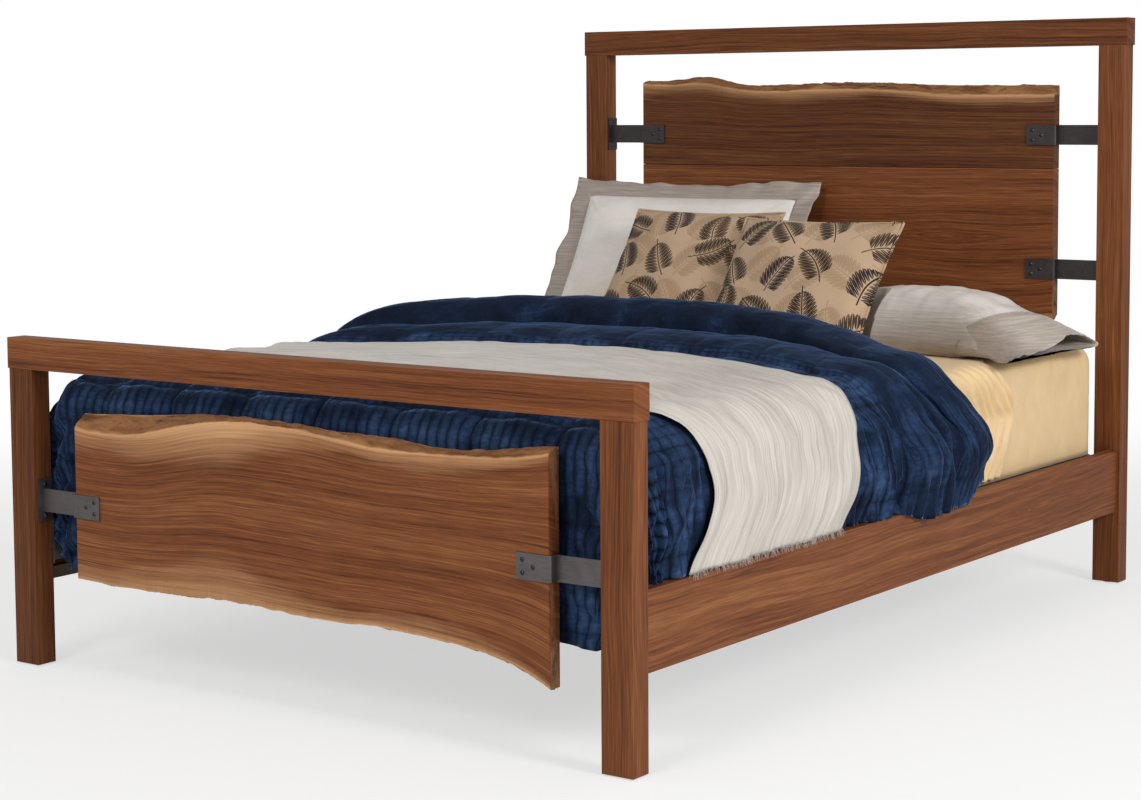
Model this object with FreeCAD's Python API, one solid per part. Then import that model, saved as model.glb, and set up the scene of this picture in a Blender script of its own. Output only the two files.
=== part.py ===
import FreeCAD, Part
import math
import os

# Queen bed with live edge walnut panels held between square posts by steel straps.
# X runs across the bed, +Y from the foot to the head and +Z up, in millimetres.
# The origin is the middle of the bed on the floor.

# Driving sizes of the frame
BED_WIDTH = 1630.0
RAIL_LENGTH = 2100.0
POST_WIDTH = 70.0
POST_DEPTH = 50.0
FOOT_HEIGHT = 713.0
HEAD_HEIGHT = 1411.0
EDGE_EASE = 1.5
FIT_GAP = 0.1
OVERRUN = 5.0
MATCH_GAP = 0.05
PARALLEL_SHARE = 0.001

# Top rails and their joints with the posts
TOP_RAIL_HEIGHT = 67.0
TOP_RAIL_OVERHANG = 4.0
TENON_WIDTH = 40.0
TENON_THICKNESS = 18.0
TENON_LENGTH = 38.0

# Glides under the posts
POST_GLIDE_RADIUS = 16.0
POST_GLIDE_HEIGHT = 3.0
GLIDE_NAIL_RADIUS = 1.2
GLIDE_NAIL_LENGTH = 16.0

# Live edge panels
PANEL_POST_GAP = 121.0
PANEL_THICKNESS = 32.0
PANEL_SETBACK = 9.0
EDGE_WANDER = 30.0
FOOT_PANEL_TOP_GAP = 96.0
FOOT_SLAB_WIDTH = 350.0
HEAD_PANEL_TOP_GAP = 104.0
HEAD_UPPER_BOARD_WIDTH = 203.0
HEAD_LOWER_BOARD_WIDTH = 387.0
FOOT_HIGH_FRONT_SHARES = (-0.73, -0.93, -0.60, 0.13, 0.67, 0.83, 0.73, 0.40, 0.03, 0.03, 0.07, 0.23, 0.80)
FOOT_HIGH_BACK_SHARES = (0.23, 0.40, 0.60, 0.87, 1.00, 1.00, 0.90, 0.70, 0.67, 0.37, 0.33, 0.67, 1.10)
FOOT_LOW_FRONT_SHARES = (0.20, 0.07, 0.07, 0.17, 0.30, 0.23, 0.07, 0.00, 0.15, 0.00, -0.23, -0.70, -2.03)
FOOT_LOW_BACK_SHARES = (0.47, 0.40, 0.23, 0.40, 0.67, 0.47, 0.27, 0.33, 0.40, 0.20, 0.10, -0.60, -2.10)
HEAD_HIGH_FRONT_SHARES = (0.73, 0.63, 0.67, 0.13, -0.07, 0.00, 0.03, 0.00, -0.20, -0.50, -0.57, -0.57, -0.57)
HEAD_HIGH_BACK_SHARES = (1.00, 1.10, 1.30, 0.60, 0.53, 0.57, 0.63, 0.60, 0.47, 0.37, 0.30, 0.27, 0.23)
HEAD_LOW_FRONT_SHARES = (0.30, 0.10, -0.20, -0.30, -0.10, 0.20, 0.40, 0.30, 0.00, -0.30, -0.50, -0.30, 0.10)
HEAD_LOW_BACK_SHARES = (0.60, 0.50, 0.10, 0.00, 0.30, 0.50, 0.60, 0.60, 0.40, 0.10, -0.10, 0.00, 0.50)

# Steel straps between panels and posts
STRAP_HEIGHT = 50.0
STRAP_THICKNESS = 4.0
STRAP_BEND_RADIUS = 5.0
STRAP_END_GAP = 3.0
FRONT_PLATE_LENGTH = 80.0
BASE_PLATE_HEIGHT = 90.0
BASE_PLATE_WIDTH = 40.0
BASE_PLATE_THICKNESS = 3.0
FOOT_STRAP_DROP = 188.0
HEAD_STRAP_DROP = 118.0
HEAD_STRAP_PITCH = 339.0

# Button head screws of the straps
BUTTON_RADIUS = 5.0
BUTTON_HEIGHT = 2.8
BUTTON_SOCKET_RADIUS = 1.8
BUTTON_SOCKET_DEPTH = 1.6
STRAP_SCREW_RADIUS = 2.5
PANEL_SCREW_LENGTH = 26.0
POST_SCREW_LENGTH = 34.0
SCREW_INSET = 15.0
SCREW_STEP = 24.5
SCREW_SPREAD = 25.0
BASE_SCREW_SPREAD = 68.0

# Side rails, slat cleats and the hooked joints at the rail ends
RAIL_HEIGHT = 154.0
RAIL_TOP = 336.0
RAIL_THICKNESS = 25.0
RAIL_SETBACK = 9.0
CLEAT_HEIGHT = 26.0
CLEAT_THICKNESS = 19.0
CLEAT_END_GAP = 10.0
HOOK_PLATE_HEIGHT = 100.0
HOOK_PLATE_THICKNESS = 3.0
HOOK_PLATE_LENGTH = 50.0
HOOK_PLATE_LEVEL = 268.0
HOOK_PLATE_INSET = 3.0
HOOK_THICKNESS = 4.0
HOOK_BODY_HEIGHT = 14.0
HOOK_LIP_HEIGHT = 8.0
HOOK_REACH = 9.0
HOOK_SPREAD = 56.0
HOOK_SIDE_GAP = 0.5
HOOK_POCKET_DEPTH = 10.0
HOOK_POCKET_WIDTH = 10.0

# Countersunk wood screws
FLAT_HEAD_RADIUS = 4.2
FLAT_HEAD_DEPTH = 2.4
FLAT_SHANK_RADIUS = 2.0
PLATE_SCREW_LENGTH = 20.0
RAIL_SCREW_SPREAD = 76.0
POST_PLATE_SCREW_SPREAD = 16.0
CLEAT_SCREW_LENGTH = 36.0
CLEAT_SCREW_COUNT = 8
SLAT_SCREW_LENGTH = 36.0

# Slats and their middle support
SLAT_COUNT = 8
SLAT_WIDTH = 90.0
SLAT_THICKNESS = 19.0
SLAT_END_GAP = 1.5
SLAT_END_INSET = 105.0
BEAM_WIDTH = 38.0
BEAM_HEIGHT = 50.0
LEG_WIDTH = 45.0
LEG_PITCH = 412.0
LEG_TENON_RADIUS = 12.5
LEG_TENON_LENGTH = 30.0
GLIDE_PAD_RADIUS = 17.0
GLIDE_PAD_HEIGHT = 8.0
GLIDE_REST_GAP = 0.3
GLIDE_STUD_RADIUS = 4.0
GLIDE_STUD_GAP = 0.3
GLIDE_TRAVEL = 12.0
GLIDE_GRIP = 19.0
INSERT_RADIUS = 6.5
INSERT_LENGTH = 14.0
INSERT_FLANGE_RADIUS = 11.0
INSERT_FLANGE_HEIGHT = 1.5

# Foundation, mattress and sheets
MATTRESS_SIDE_GAP = 19.0
MATTRESS_END_GAP = 34.0
FOUNDATION_HEIGHT = 102.0
MATTRESS_HEIGHT = 278.0
FOUNDATION_EDGE_RADIUS = 12.0
MATTRESS_EDGE_RADIUS = 48.0
SHEET_THICKNESS = 2.0
TOP_SHEET_THICKNESS = 2.4
SOFT_GAP = 0.4
TOP_SHEET_HEAD = 560.0
TOP_SHEET_FOLD = 4.0
TOP_SHEET_FOLD_PITCH = 26.0
TOP_SHEET_FOLDS = 4

# Quilt: tucked beside the rails, hanging at the foot, folded back at the head
QUILT_TUCK_THICKNESS = 9.0
QUILT_SIDE_BULGE = 19.0
QUILT_TOP_THICKNESS = 20.0
QUILT_CROWN = 10.0
QUILT_SHOULDER = 85.0
QUILT_FOOT_THICKNESS = 22.0
QUILT_FOOT_HEM = 210.0
QUILT_FOOT_ROUND = 64.0
QUILT_REST_GAP = 1.0
QUILT_HEAD = 430.0
QUILT_PANEL_WIDTH = 199.0
QUILT_GROOVE = 5.0
FOLD_HEIGHT = 62.0
FOLD_CROWN_SHARE = 0.45
FOLD_SIDE = 30.0
FOLD_LENGTH = 385.0
# Stations from the start of the folds to the head edge: shares of the length, height and side swell
FOLD_SHARES = (
    (0.00, 0.00, 0.00), (0.12, 0.05, 0.25), (0.24, 0.26, 0.70), (0.36, 0.42, 0.92), (0.47, 0.46, 0.85),
    (0.56, 0.36, 0.50), (0.64, 0.66, 0.80), (0.76, 0.93, 1.00), (0.86, 1.00, 1.00), (0.94, 0.78, 0.80),
    (1.00, 0.30, 0.35),
)

# Throw across the foot third
THROW_THICKNESS = 3.0
THROW_WIDTH = 580.0
THROW_SIDE_START = -870.0
THROW_SKEW = 190.0
# Edge line from one side of the bed to the other: share of the half width, share of the skew
THROW_EDGE_SHARES = ((-1.0, 0.20), (-0.62, 0.85), (0.0, 1.0), (0.48, 0.88), (0.76, 0.35), (1.0, 0.0))

# Cushions and pillows
CUSHION_WIDTH = 470.0
CUSHION_HEIGHT = 440.0
CUSHION_THICKNESS = 130.0
CUSHION_LEAN = 52.0
SHAM_WIDTH = 790.0
SHAM_HEIGHT = 450.0
SHAM_THICKNESS = 110.0
SHAM_FLANGE = 55.0
SHAM_LEAN = 62.0
PILLOW_WIDTH = 640.0
PILLOW_HEIGHT = 490.0
PILLOW_THICKNESS = 165.0
PILLOW_FLANGE = 70.0
PILLOW_TURN = -2.0
PILLOW_SINK = 14.0
FLANGE_THICKNESS = 3.0
DRAW_IN_SHARE = 0.05
# Levels through a cushion: share of half the thickness, share of the outline
CUSHION_SHARES = (
    (-1.00, 0.10), (-0.95, 0.32), (-0.78, 0.60), (-0.45, 0.85), (0.00, 1.00),
    (0.45, 0.85), (0.78, 0.60), (0.95, 0.32), (1.00, 0.10),
)
# Middles of the cushions: from the bed's middle, from the mattress's head end, above the mattress
LEFT_CUSHION_OFFSET = -255.0
LEFT_CUSHION_SETBACK = 316.0
LEFT_CUSHION_RISE = 145.0
RIGHT_CUSHION_OFFSET = 150.0
RIGHT_CUSHION_SETBACK = 418.0
RIGHT_CUSHION_RISE = 135.0
SHAM_OFFSET = -424.0
SHAM_SETBACK = 101.0
SHAM_RISE = 193.0
PILLOW_OFFSET = 485.0
PILLOW_SETBACK = 325.0

# Places that follow from the sizes
HALF_WIDTH = BED_WIDTH / 2
HALF_RAIL = RAIL_LENGTH / 2
HALF_BED = HALF_RAIL + POST_DEPTH
POST_INNER = HALF_WIDTH - POST_WIDTH
RAIL_OUTER = HALF_WIDTH - RAIL_SETBACK
RAIL_INNER = RAIL_OUTER - RAIL_THICKNESS
RAIL_BOTTOM = RAIL_TOP - RAIL_HEIGHT
PANEL_LENGTH = 2 * (POST_INNER - PANEL_POST_GAP)
FOOT_PANEL_HIGH = FOOT_HEIGHT - TOP_RAIL_HEIGHT - FOOT_PANEL_TOP_GAP
FOOT_PANEL_LOW = FOOT_PANEL_HIGH - FOOT_SLAB_WIDTH
FOOT_STRAP_LEVEL = FOOT_PANEL_HIGH - FOOT_STRAP_DROP
HEAD_PANEL_HIGH = HEAD_HEIGHT - TOP_RAIL_HEIGHT - HEAD_PANEL_TOP_GAP
HEAD_PANEL_JOINT = HEAD_PANEL_HIGH - HEAD_UPPER_BOARD_WIDTH
HEAD_PANEL_LOW = HEAD_PANEL_JOINT - HEAD_LOWER_BOARD_WIDTH
HEAD_STRAP_HIGH_LEVEL = HEAD_PANEL_HIGH - HEAD_STRAP_DROP
HEAD_STRAP_LOW_LEVEL = HEAD_STRAP_HIGH_LEVEL - HEAD_STRAP_PITCH
SLAT_BOTTOM = RAIL_BOTTOM + CLEAT_HEIGHT
SLAT_TOP = SLAT_BOTTOM + SLAT_THICKNESS
BEAM_BOTTOM = SLAT_BOTTOM - BEAM_HEIGHT
SLAT_PITCH = (RAIL_LENGTH - 2 * SLAT_END_INSET) / (SLAT_COUNT - 1)
MATTRESS_BOTTOM = SLAT_TOP + FOUNDATION_HEIGHT
MATTRESS_TOP = MATTRESS_BOTTOM + MATTRESS_HEIGHT
HALF_MATTRESS = RAIL_INNER - MATTRESS_SIDE_GAP
HALF_MATTRESS_LENGTH = HALF_RAIL - MATTRESS_END_GAP
LEG_BOTTOM = GLIDE_PAD_HEIGHT + GLIDE_REST_GAP
GLIDE_STUD_LENGTH = INSERT_LENGTH + GLIDE_TRAVEL + GLIDE_GRIP
FOOT_FRONT = -HALF_BED
HEAD_FRONT = HALF_RAIL

X_AXIS = FreeCAD.Vector(1, 0, 0)
Y_AXIS = FreeCAD.Vector(0, 1, 0)
Z_AXIS = FreeCAD.Vector(0, 0, 1)


def at(x, y, z):
    return FreeCAD.Vector(x, y, z)


def block(low, high):
    """A box from its lowest to its highest corner, whichever way round they come."""
    corners = [sorted(pair) for pair in zip(low, high)]
    sizes = [pair[1] - pair[0] for pair in corners]
    return Part.makeBox(sizes[0], sizes[1], sizes[2], at(*[pair[0] for pair in corners]))


def edges_along(shape, direction):
    """The straight edges of a shape that run along one direction."""
    found = []
    for edge in shape.Edges:
        if isinstance(edge.Curve, Part.Line):
            if abs(abs(edge.tangentAt(edge.FirstParameter).dot(direction)) - 1) < PARALLEL_SHARE:
                found.append(edge)
    return found


def eased(shape, direction):
    """The shape with its long edges lightly rounded, as sanded timber has."""
    return shape.makeFillet(EDGE_EASE, edges_along(shape, direction))


def rod(radius, length, base, direction):
    return Part.makeCylinder(radius, length, base, direction)


def group(shapes):
    return Part.makeCompound(shapes)


def export(name, shape):
    shape.exportStep(os.path.join("parts", name + ".step"))


def side_name(side):
    return "left" if side < 0 else "right"


# Screws
def button_screw(face, inward, length):
    """A button head screw whose head sits on a face and whose shank goes inward."""
    rise = BUTTON_HEIGHT
    ball = (BUTTON_RADIUS ** 2 + rise ** 2) / (2 * rise)
    dome = Part.makeSphere(ball, face + inward * (ball - rise))
    keep = rod(ball, rise, face - inward * rise, inward)
    head = dome.common(keep)
    socket = rod(BUTTON_SOCKET_RADIUS, BUTTON_SOCKET_DEPTH, face - inward * rise, inward)
    return head.fuse(rod(STRAP_SCREW_RADIUS, length, face, inward)).removeSplitter().cut(socket)


def flat_screw(face, inward, length, clearance=0):
    """A countersunk screw, or with a clearance the hole that takes it."""
    head = Part.makeCone(FLAT_HEAD_RADIUS + clearance, FLAT_SHANK_RADIUS + clearance, FLAT_HEAD_DEPTH,
                         face, inward)
    return head.fuse(rod(FLAT_SHANK_RADIUS + clearance, length + clearance, face, inward))


def screw_hole(radius, length, face, inward):
    """The hole that takes a round shank."""
    return rod(radius + FIT_GAP, length + FIT_GAP, face, inward)


# Places of the strap screws
def front_screw_places(side, front, level):
    """The three screws through a strap's front plate, as points on the plate's face."""
    inner = side * (plate_outer() - FRONT_PLATE_LENGTH)
    near = inner + side * SCREW_INSET
    far = near + side * SCREW_STEP
    y = front + PANEL_SETBACK - STRAP_THICKNESS
    return [at(near, y, level - SCREW_SPREAD / 2), at(near, y, level + SCREW_SPREAD / 2), at(far, y, level)]


def base_screw_places(side, front, level):
    """The two screws through a strap's base plate, above and below the strap."""
    x = side * (POST_INNER - BASE_PLATE_THICKNESS)
    y = front + PANEL_SETBACK + BASE_PLATE_WIDTH / 2
    return [at(x, y, level + up * BASE_SCREW_SPREAD / 2) for up in (-1, 1)]


def strap_levels(front):
    if front == FOOT_FRONT:
        return [FOOT_STRAP_LEVEL]
    return [HEAD_STRAP_LOW_LEVEL, HEAD_STRAP_HIGH_LEVEL]


def plate_outer():
    """Distance from the middle of the bed to the outside of a strap's web."""
    return PANEL_LENGTH / 2 + STRAP_END_GAP + STRAP_THICKNESS


def strap(side, front, level):
    """Front plate on the panel, web across its end, flat strap to a base plate on the post."""
    face = front + PANEL_SETBACK - STRAP_THICKNESS
    back = front + (POST_DEPTH + STRAP_THICKNESS) / 2
    web_out = plate_outer()
    web_in = web_out - STRAP_THICKNESS
    plate_in = web_out - FRONT_PLATE_LENGTH
    post_side = POST_INNER - BASE_PLATE_THICKNESS
    behind_plate = face + STRAP_THICKNESS
    bar_face = back - STRAP_THICKNESS
    outline = [
        (plate_in, face), (web_out, face), (web_out, bar_face), (post_side, bar_face),
        (post_side, back), (web_in, back), (web_in, behind_plate), (plate_in, behind_plate),
    ]
    low = level - STRAP_HEIGHT / 2
    points = [at(side * x, y, low) for x, y in outline]
    bar = Part.Face(Part.makePolygon(points + points[:1])).extrude(Z_AXIS * STRAP_HEIGHT)
    outer_bends = [edge for edge in edges_along(bar, Z_AXIS) if bend_edge(edge, web_out, face, web_in, back)]
    bar = bar.makeFillet(STRAP_BEND_RADIUS, outer_bends)
    base = block(
        (side * post_side, front + PANEL_SETBACK, level - BASE_PLATE_HEIGHT / 2),
        (side * POST_INNER, front + PANEL_SETBACK + BASE_PLATE_WIDTH, level + BASE_PLATE_HEIGHT / 2))
    piece = bar.fuse(base).removeSplitter()
    for place in front_screw_places(side, front, level):
        piece = piece.cut(rod(STRAP_SCREW_RADIUS + FIT_GAP, STRAP_THICKNESS + OVERRUN, place, Y_AXIS))
    for place in base_screw_places(side, front, level):
        piece = piece.cut(rod(STRAP_SCREW_RADIUS + FIT_GAP, BASE_PLATE_THICKNESS, place, X_AXIS * side))
    return piece


def bend_edge(edge, web_out, face, web_in, back):
    """True for the outside edge of each of the strap's two bends."""
    point = edge.Vertexes[0].Point
    outside_front = abs(abs(point.x) - web_out) < MATCH_GAP and abs(point.y - face) < MATCH_GAP
    outside_back = abs(abs(point.x) - web_in) < MATCH_GAP and abs(point.y - back) < MATCH_GAP
    return outside_front or outside_back


def strap_screws(front):
    screws = []
    for side in (-1, 1):
        for level in strap_levels(front):
            for place in front_screw_places(side, front, level):
                screws.append(button_screw(place, Y_AXIS, PANEL_SCREW_LENGTH))
            for place in base_screw_places(side, front, level):
                screws.append(button_screw(place, X_AXIS * side, POST_SCREW_LENGTH))
    return group(screws)


# Hooked joints between side rails and posts
def hook_levels():
    return [HOOK_PLATE_LEVEL + up * HOOK_SPREAD / 2 for up in (-1, 1)]


def hook_line():
    """Distance from the middle of the bed to the middle of the hooks."""
    return (POST_INNER + RAIL_INNER) / 2


def receiver_screw_places(side, end):
    x = side * hook_line()
    y = end * (HALF_RAIL - HOOK_PLATE_THICKNESS)
    return [at(x, y, HOOK_PLATE_LEVEL + up * POST_PLATE_SCREW_SPREAD / 2) for up in (-1, 1)]


def rail_screw_places(side, end):
    x = side * (RAIL_INNER - HOOK_PLATE_THICKNESS)
    y = end * (HALF_RAIL - HOOK_PLATE_THICKNESS - (HOOK_PLATE_LENGTH + HOOK_PLATE_THICKNESS) / 2)
    return [at(x, y, HOOK_PLATE_LEVEL + up * RAIL_SCREW_SPREAD / 2) for up in (-1, 0, 1)]


def receiver_plate(side, end):
    """Flat plate on the post with two upright slots."""
    plate = block(
        (side * (POST_INNER + HOOK_PLATE_INSET), end * HALF_RAIL, HOOK_PLATE_LEVEL - HOOK_PLATE_HEIGHT / 2),
        (side * (RAIL_INNER - HOOK_PLATE_INSET), end * (HALF_RAIL - HOOK_PLATE_THICKNESS),
         HOOK_PLATE_LEVEL + HOOK_PLATE_HEIGHT / 2))
    half = HOOK_THICKNESS / 2 + HOOK_SIDE_GAP
    for level in hook_levels():
        low = level - HOOK_BODY_HEIGHT / 2
        high = low + HOOK_BODY_HEIGHT + HOOK_LIP_HEIGHT + HOOK_SIDE_GAP
        plate = plate.cut(block(
            (side * hook_line() - half, end * HALF_RAIL, low),
            (side * hook_line() + half, end * (HALF_RAIL - HOOK_PLATE_THICKNESS), high)))
    for place in receiver_screw_places(side, end):
        plate = plate.cut(flat_screw(place, Y_AXIS * end, PLATE_SCREW_LENGTH, FIT_GAP))
    return plate


def hook_plate(side, end):
    """Angle on the rail whose two hooks drop through the slots of the plate on the post."""
    low = HOOK_PLATE_LEVEL - HOOK_PLATE_HEIGHT / 2
    high = HOOK_PLATE_LEVEL + HOOK_PLATE_HEIGHT / 2
    meet = HALF_RAIL - HOOK_PLATE_THICKNESS
    on_rail = block(
        (side * (RAIL_INNER - HOOK_PLATE_THICKNESS), end * meet, low),
        (side * RAIL_INNER, end * (meet - HOOK_PLATE_LENGTH), high))
    across = block(
        (side * (POST_INNER + HOOK_PLATE_INSET), end * meet, low),
        (side * RAIL_INNER, end * (meet - HOOK_PLATE_THICKNESS), high))
    piece = on_rail.fuse(across)
    half = HOOK_THICKNESS / 2
    tip = end * (meet + HOOK_REACH)
    for level in hook_levels():
        body_low = level - HOOK_BODY_HEIGHT / 2
        body = block((side * hook_line() - half, end * (meet - HOOK_PLATE_THICKNESS), body_low),
                     (side * hook_line() + half, tip, body_low + HOOK_BODY_HEIGHT))
        lip_start = end * (HALF_RAIL + HOOK_SIDE_GAP)
        lip = block((side * hook_line() - half, lip_start, body_low - HOOK_LIP_HEIGHT),
                    (side * hook_line() + half, tip, body_low))
        piece = piece.fuse(body).fuse(lip)
    piece = piece.removeSplitter()
    for place in rail_screw_places(side, end):
        piece = piece.cut(flat_screw(place, X_AXIS * side, PLATE_SCREW_LENGTH, FIT_GAP))
    return piece


def rail_joint_screws():
    screws = []
    for side in (-1, 1):
        for end in (-1, 1):
            for place in receiver_screw_places(side, end):
                screws.append(flat_screw(place, Y_AXIS * end, PLATE_SCREW_LENGTH))
            for place in rail_screw_places(side, end):
                screws.append(flat_screw(place, X_AXIS * side, PLATE_SCREW_LENGTH))
    return group(screws)


# Posts and top rails
def post(side, front, height):
    """Square post with a tenon on top, screw holes, hook pockets and a nail hole for its glide."""
    top = height - TOP_RAIL_HEIGHT
    body = block((side * POST_INNER, front, POST_GLIDE_HEIGHT), (side * HALF_WIDTH, front + POST_DEPTH, top))
    body = eased(body, Z_AXIS)
    middle_x = side * (POST_INNER + HALF_WIDTH) / 2
    middle_y = front + POST_DEPTH / 2
    body = body.fuse(block((middle_x - TENON_WIDTH / 2, middle_y - TENON_THICKNESS / 2, top),
                           (middle_x + TENON_WIDTH / 2, middle_y + TENON_THICKNESS / 2, top + TENON_LENGTH)))
    for level in strap_levels(front):
        for place in base_screw_places(side, front, level):
            body = body.cut(screw_hole(STRAP_SCREW_RADIUS, POST_SCREW_LENGTH, place, X_AXIS * side))
    end = -1 if front == FOOT_FRONT else 1
    for place in receiver_screw_places(side, end):
        body = body.cut(screw_hole(FLAT_SHANK_RADIUS, PLATE_SCREW_LENGTH, place, Y_AXIS * end))
    half = HOOK_POCKET_WIDTH / 2
    deep = end * (HALF_RAIL + HOOK_POCKET_DEPTH)
    room = HOOK_BODY_HEIGHT / 2 + HOOK_LIP_HEIGHT + HOOK_SIDE_GAP
    for level in hook_levels():
        body = body.cut(block((side * hook_line() - half, end * HALF_RAIL, level - room),
                              (side * hook_line() + half, deep, level + room)))
    base = at(middle_x, middle_y, 0)
    return body.cut(screw_hole(GLIDE_NAIL_RADIUS, POST_GLIDE_HEIGHT + GLIDE_NAIL_LENGTH, base, Z_AXIS))


def top_rail(front, height):
    """Rail across the tops of two posts, with a mortise over each."""
    half = HALF_WIDTH + TOP_RAIL_OVERHANG
    bottom = height - TOP_RAIL_HEIGHT
    rail = eased(block((-half, front, bottom), (half, front + POST_DEPTH, height)), X_AXIS)
    middle_y = front + POST_DEPTH / 2
    for side in (-1, 1):
        middle_x = side * (POST_INNER + HALF_WIDTH) / 2
        rail = rail.cut(block((middle_x - TENON_WIDTH / 2, middle_y - TENON_THICKNESS / 2, bottom),
                              (middle_x + TENON_WIDTH / 2, middle_y + TENON_THICKNESS / 2,
                               bottom + TENON_LENGTH + FIT_GAP)))
    return rail


def post_glides():
    glides = []
    for side in (-1, 1):
        for front in (FOOT_FRONT, HEAD_FRONT):
            base = at(side * (POST_INNER + HALF_WIDTH) / 2, front + POST_DEPTH / 2, 0)
            disc = rod(POST_GLIDE_RADIUS, POST_GLIDE_HEIGHT, base, Z_AXIS)
            nail = rod(GLIDE_NAIL_RADIUS, POST_GLIDE_HEIGHT + GLIDE_NAIL_LENGTH, base, Z_AXIS)
            glides.append(disc.fuse(nail).removeSplitter())
    return group(glides)


# Live edge panels
def edge_points(level, shares, y):
    """Points along a live edge that wanders about its level."""
    step = PANEL_LENGTH / (len(shares) - 1)
    return [at(step * i - PANEL_LENGTH / 2, y, level + EDGE_WANDER * share) for i, share in enumerate(shares)]


def smooth_edge(points):
    curve = Part.BSplineCurve()
    curve.interpolate(points)
    return curve.toShape()


def panel_outline(low, high):
    """Closed outline of one face of a panel, from its lower and its upper points."""
    lower = smooth_edge(low) if len(low) > 2 else Part.makeLine(low[0], low[-1])
    upper = smooth_edge(high) if len(high) > 2 else Part.makeLine(high[0], high[-1])
    return Part.Wire([lower, Part.makeLine(low[-1], high[-1]), upper, Part.makeLine(high[0], low[0])])


def straight_points(level, y):
    return [at(-PANEL_LENGTH / 2, y, level), at(PANEL_LENGTH / 2, y, level)]


def panel(front, low_front, low_back, high_front, high_back):
    """Board whose edges rule from the outline of its front face to that of its back face."""
    outlines = [panel_outline(low_front, high_front), panel_outline(low_back, high_back)]
    board = Part.makeLoft(outlines, True, True)
    for side in (-1, 1):
        for level in strap_levels(front):
            for place in front_screw_places(side, front, level):
                board = board.cut(screw_hole(STRAP_SCREW_RADIUS, PANEL_SCREW_LENGTH, place, Y_AXIS))
    return board


def panel_depths(front):
    return front + PANEL_SETBACK, front + PANEL_SETBACK + PANEL_THICKNESS


def foot_panel():
    near, far = panel_depths(FOOT_FRONT)
    return panel(
        FOOT_FRONT,
        edge_points(FOOT_PANEL_LOW, FOOT_LOW_FRONT_SHARES, near),
        edge_points(FOOT_PANEL_LOW, FOOT_LOW_BACK_SHARES, far),
        edge_points(FOOT_PANEL_HIGH, FOOT_HIGH_FRONT_SHARES, near),
        edge_points(FOOT_PANEL_HIGH, FOOT_HIGH_BACK_SHARES, far))


def head_upper_board():
    near, far = panel_depths(HEAD_FRONT)
    return panel(
        HEAD_FRONT,
        straight_points(HEAD_PANEL_JOINT, near), straight_points(HEAD_PANEL_JOINT, far),
        edge_points(HEAD_PANEL_HIGH, HEAD_HIGH_FRONT_SHARES, near),
        edge_points(HEAD_PANEL_HIGH, HEAD_HIGH_BACK_SHARES, far))


def head_lower_board():
    near, far = panel_depths(HEAD_FRONT)
    return panel(
        HEAD_FRONT,
        edge_points(HEAD_PANEL_LOW, HEAD_LOW_FRONT_SHARES, near),
        edge_points(HEAD_PANEL_LOW, HEAD_LOW_BACK_SHARES, far),
        straight_points(HEAD_PANEL_JOINT, near), straight_points(HEAD_PANEL_JOINT, far))


# Side rails, cleats, slats
def cleat_screw_places(side):
    length = RAIL_LENGTH - 2 * CLEAT_END_GAP
    step = length / CLEAT_SCREW_COUNT
    x = side * (RAIL_INNER - CLEAT_THICKNESS)
    z = RAIL_BOTTOM + CLEAT_HEIGHT / 2
    return [at(x, step * (i - (CLEAT_SCREW_COUNT - 1) / 2), z) for i in range(CLEAT_SCREW_COUNT)]


def slat_places():
    return [SLAT_END_INSET - HALF_RAIL + SLAT_PITCH * i for i in range(SLAT_COUNT)]


def slat_screw_places(y):
    edge = RAIL_INNER - CLEAT_THICKNESS / 2
    places = [at(side * edge, y, SLAT_TOP) for side in (-1, 1)]
    if abs(y) < beam_half_length():
        places.append(at(0, y, SLAT_TOP))
    return places


def beam_half_length():
    """The beam runs from the second slat to the second last."""
    return SLAT_PITCH * (SLAT_COUNT - 3) / 2 + SLAT_WIDTH / 2


def side_rail(side):
    rail = block((side * RAIL_INNER, -HALF_RAIL, RAIL_BOTTOM), (side * RAIL_OUTER, HALF_RAIL, RAIL_TOP))
    rail = eased(rail, Y_AXIS)
    for end in (-1, 1):
        for place in rail_screw_places(side, end):
            rail = rail.cut(screw_hole(FLAT_SHANK_RADIUS, PLATE_SCREW_LENGTH, place, X_AXIS * side))
    for place in cleat_screw_places(side):
        rail = rail.cut(screw_hole(FLAT_SHANK_RADIUS, CLEAT_SCREW_LENGTH, place, X_AXIS * side))
    return rail


def slat_cleat(side):
    half = HALF_RAIL - CLEAT_END_GAP
    cleat = block((side * (RAIL_INNER - CLEAT_THICKNESS), -half, RAIL_BOTTOM),
                  (side * RAIL_INNER, half, SLAT_BOTTOM))
    for place in cleat_screw_places(side):
        cleat = cleat.cut(flat_screw(place, X_AXIS * side, CLEAT_SCREW_LENGTH, FIT_GAP))
    for y in slat_places():
        for place in slat_screw_places(y):
            cleat = cleat.cut(screw_hole(FLAT_SHANK_RADIUS, SLAT_SCREW_LENGTH, place, -Z_AXIS))
    return cleat


def slat(y):
    half = RAIL_INNER - SLAT_END_GAP
    board = block((-half, y - SLAT_WIDTH / 2, SLAT_BOTTOM), (half, y + SLAT_WIDTH / 2, SLAT_TOP))
    board = eased(board, X_AXIS)
    for place in slat_screw_places(y):
        board = board.cut(flat_screw(place, -Z_AXIS, SLAT_SCREW_LENGTH, FIT_GAP))
    return board


def slat_screws():
    return group([flat_screw(place, -Z_AXIS, SLAT_SCREW_LENGTH)
                  for y in slat_places() for place in slat_screw_places(y)])


def cleat_screws():
    return group([flat_screw(place, X_AXIS * side, CLEAT_SCREW_LENGTH)
                  for side in (-1, 1) for place in cleat_screw_places(side)])


# Middle support
def leg_places():
    return [LEG_PITCH * i for i in (-1, 0, 1)]


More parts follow.
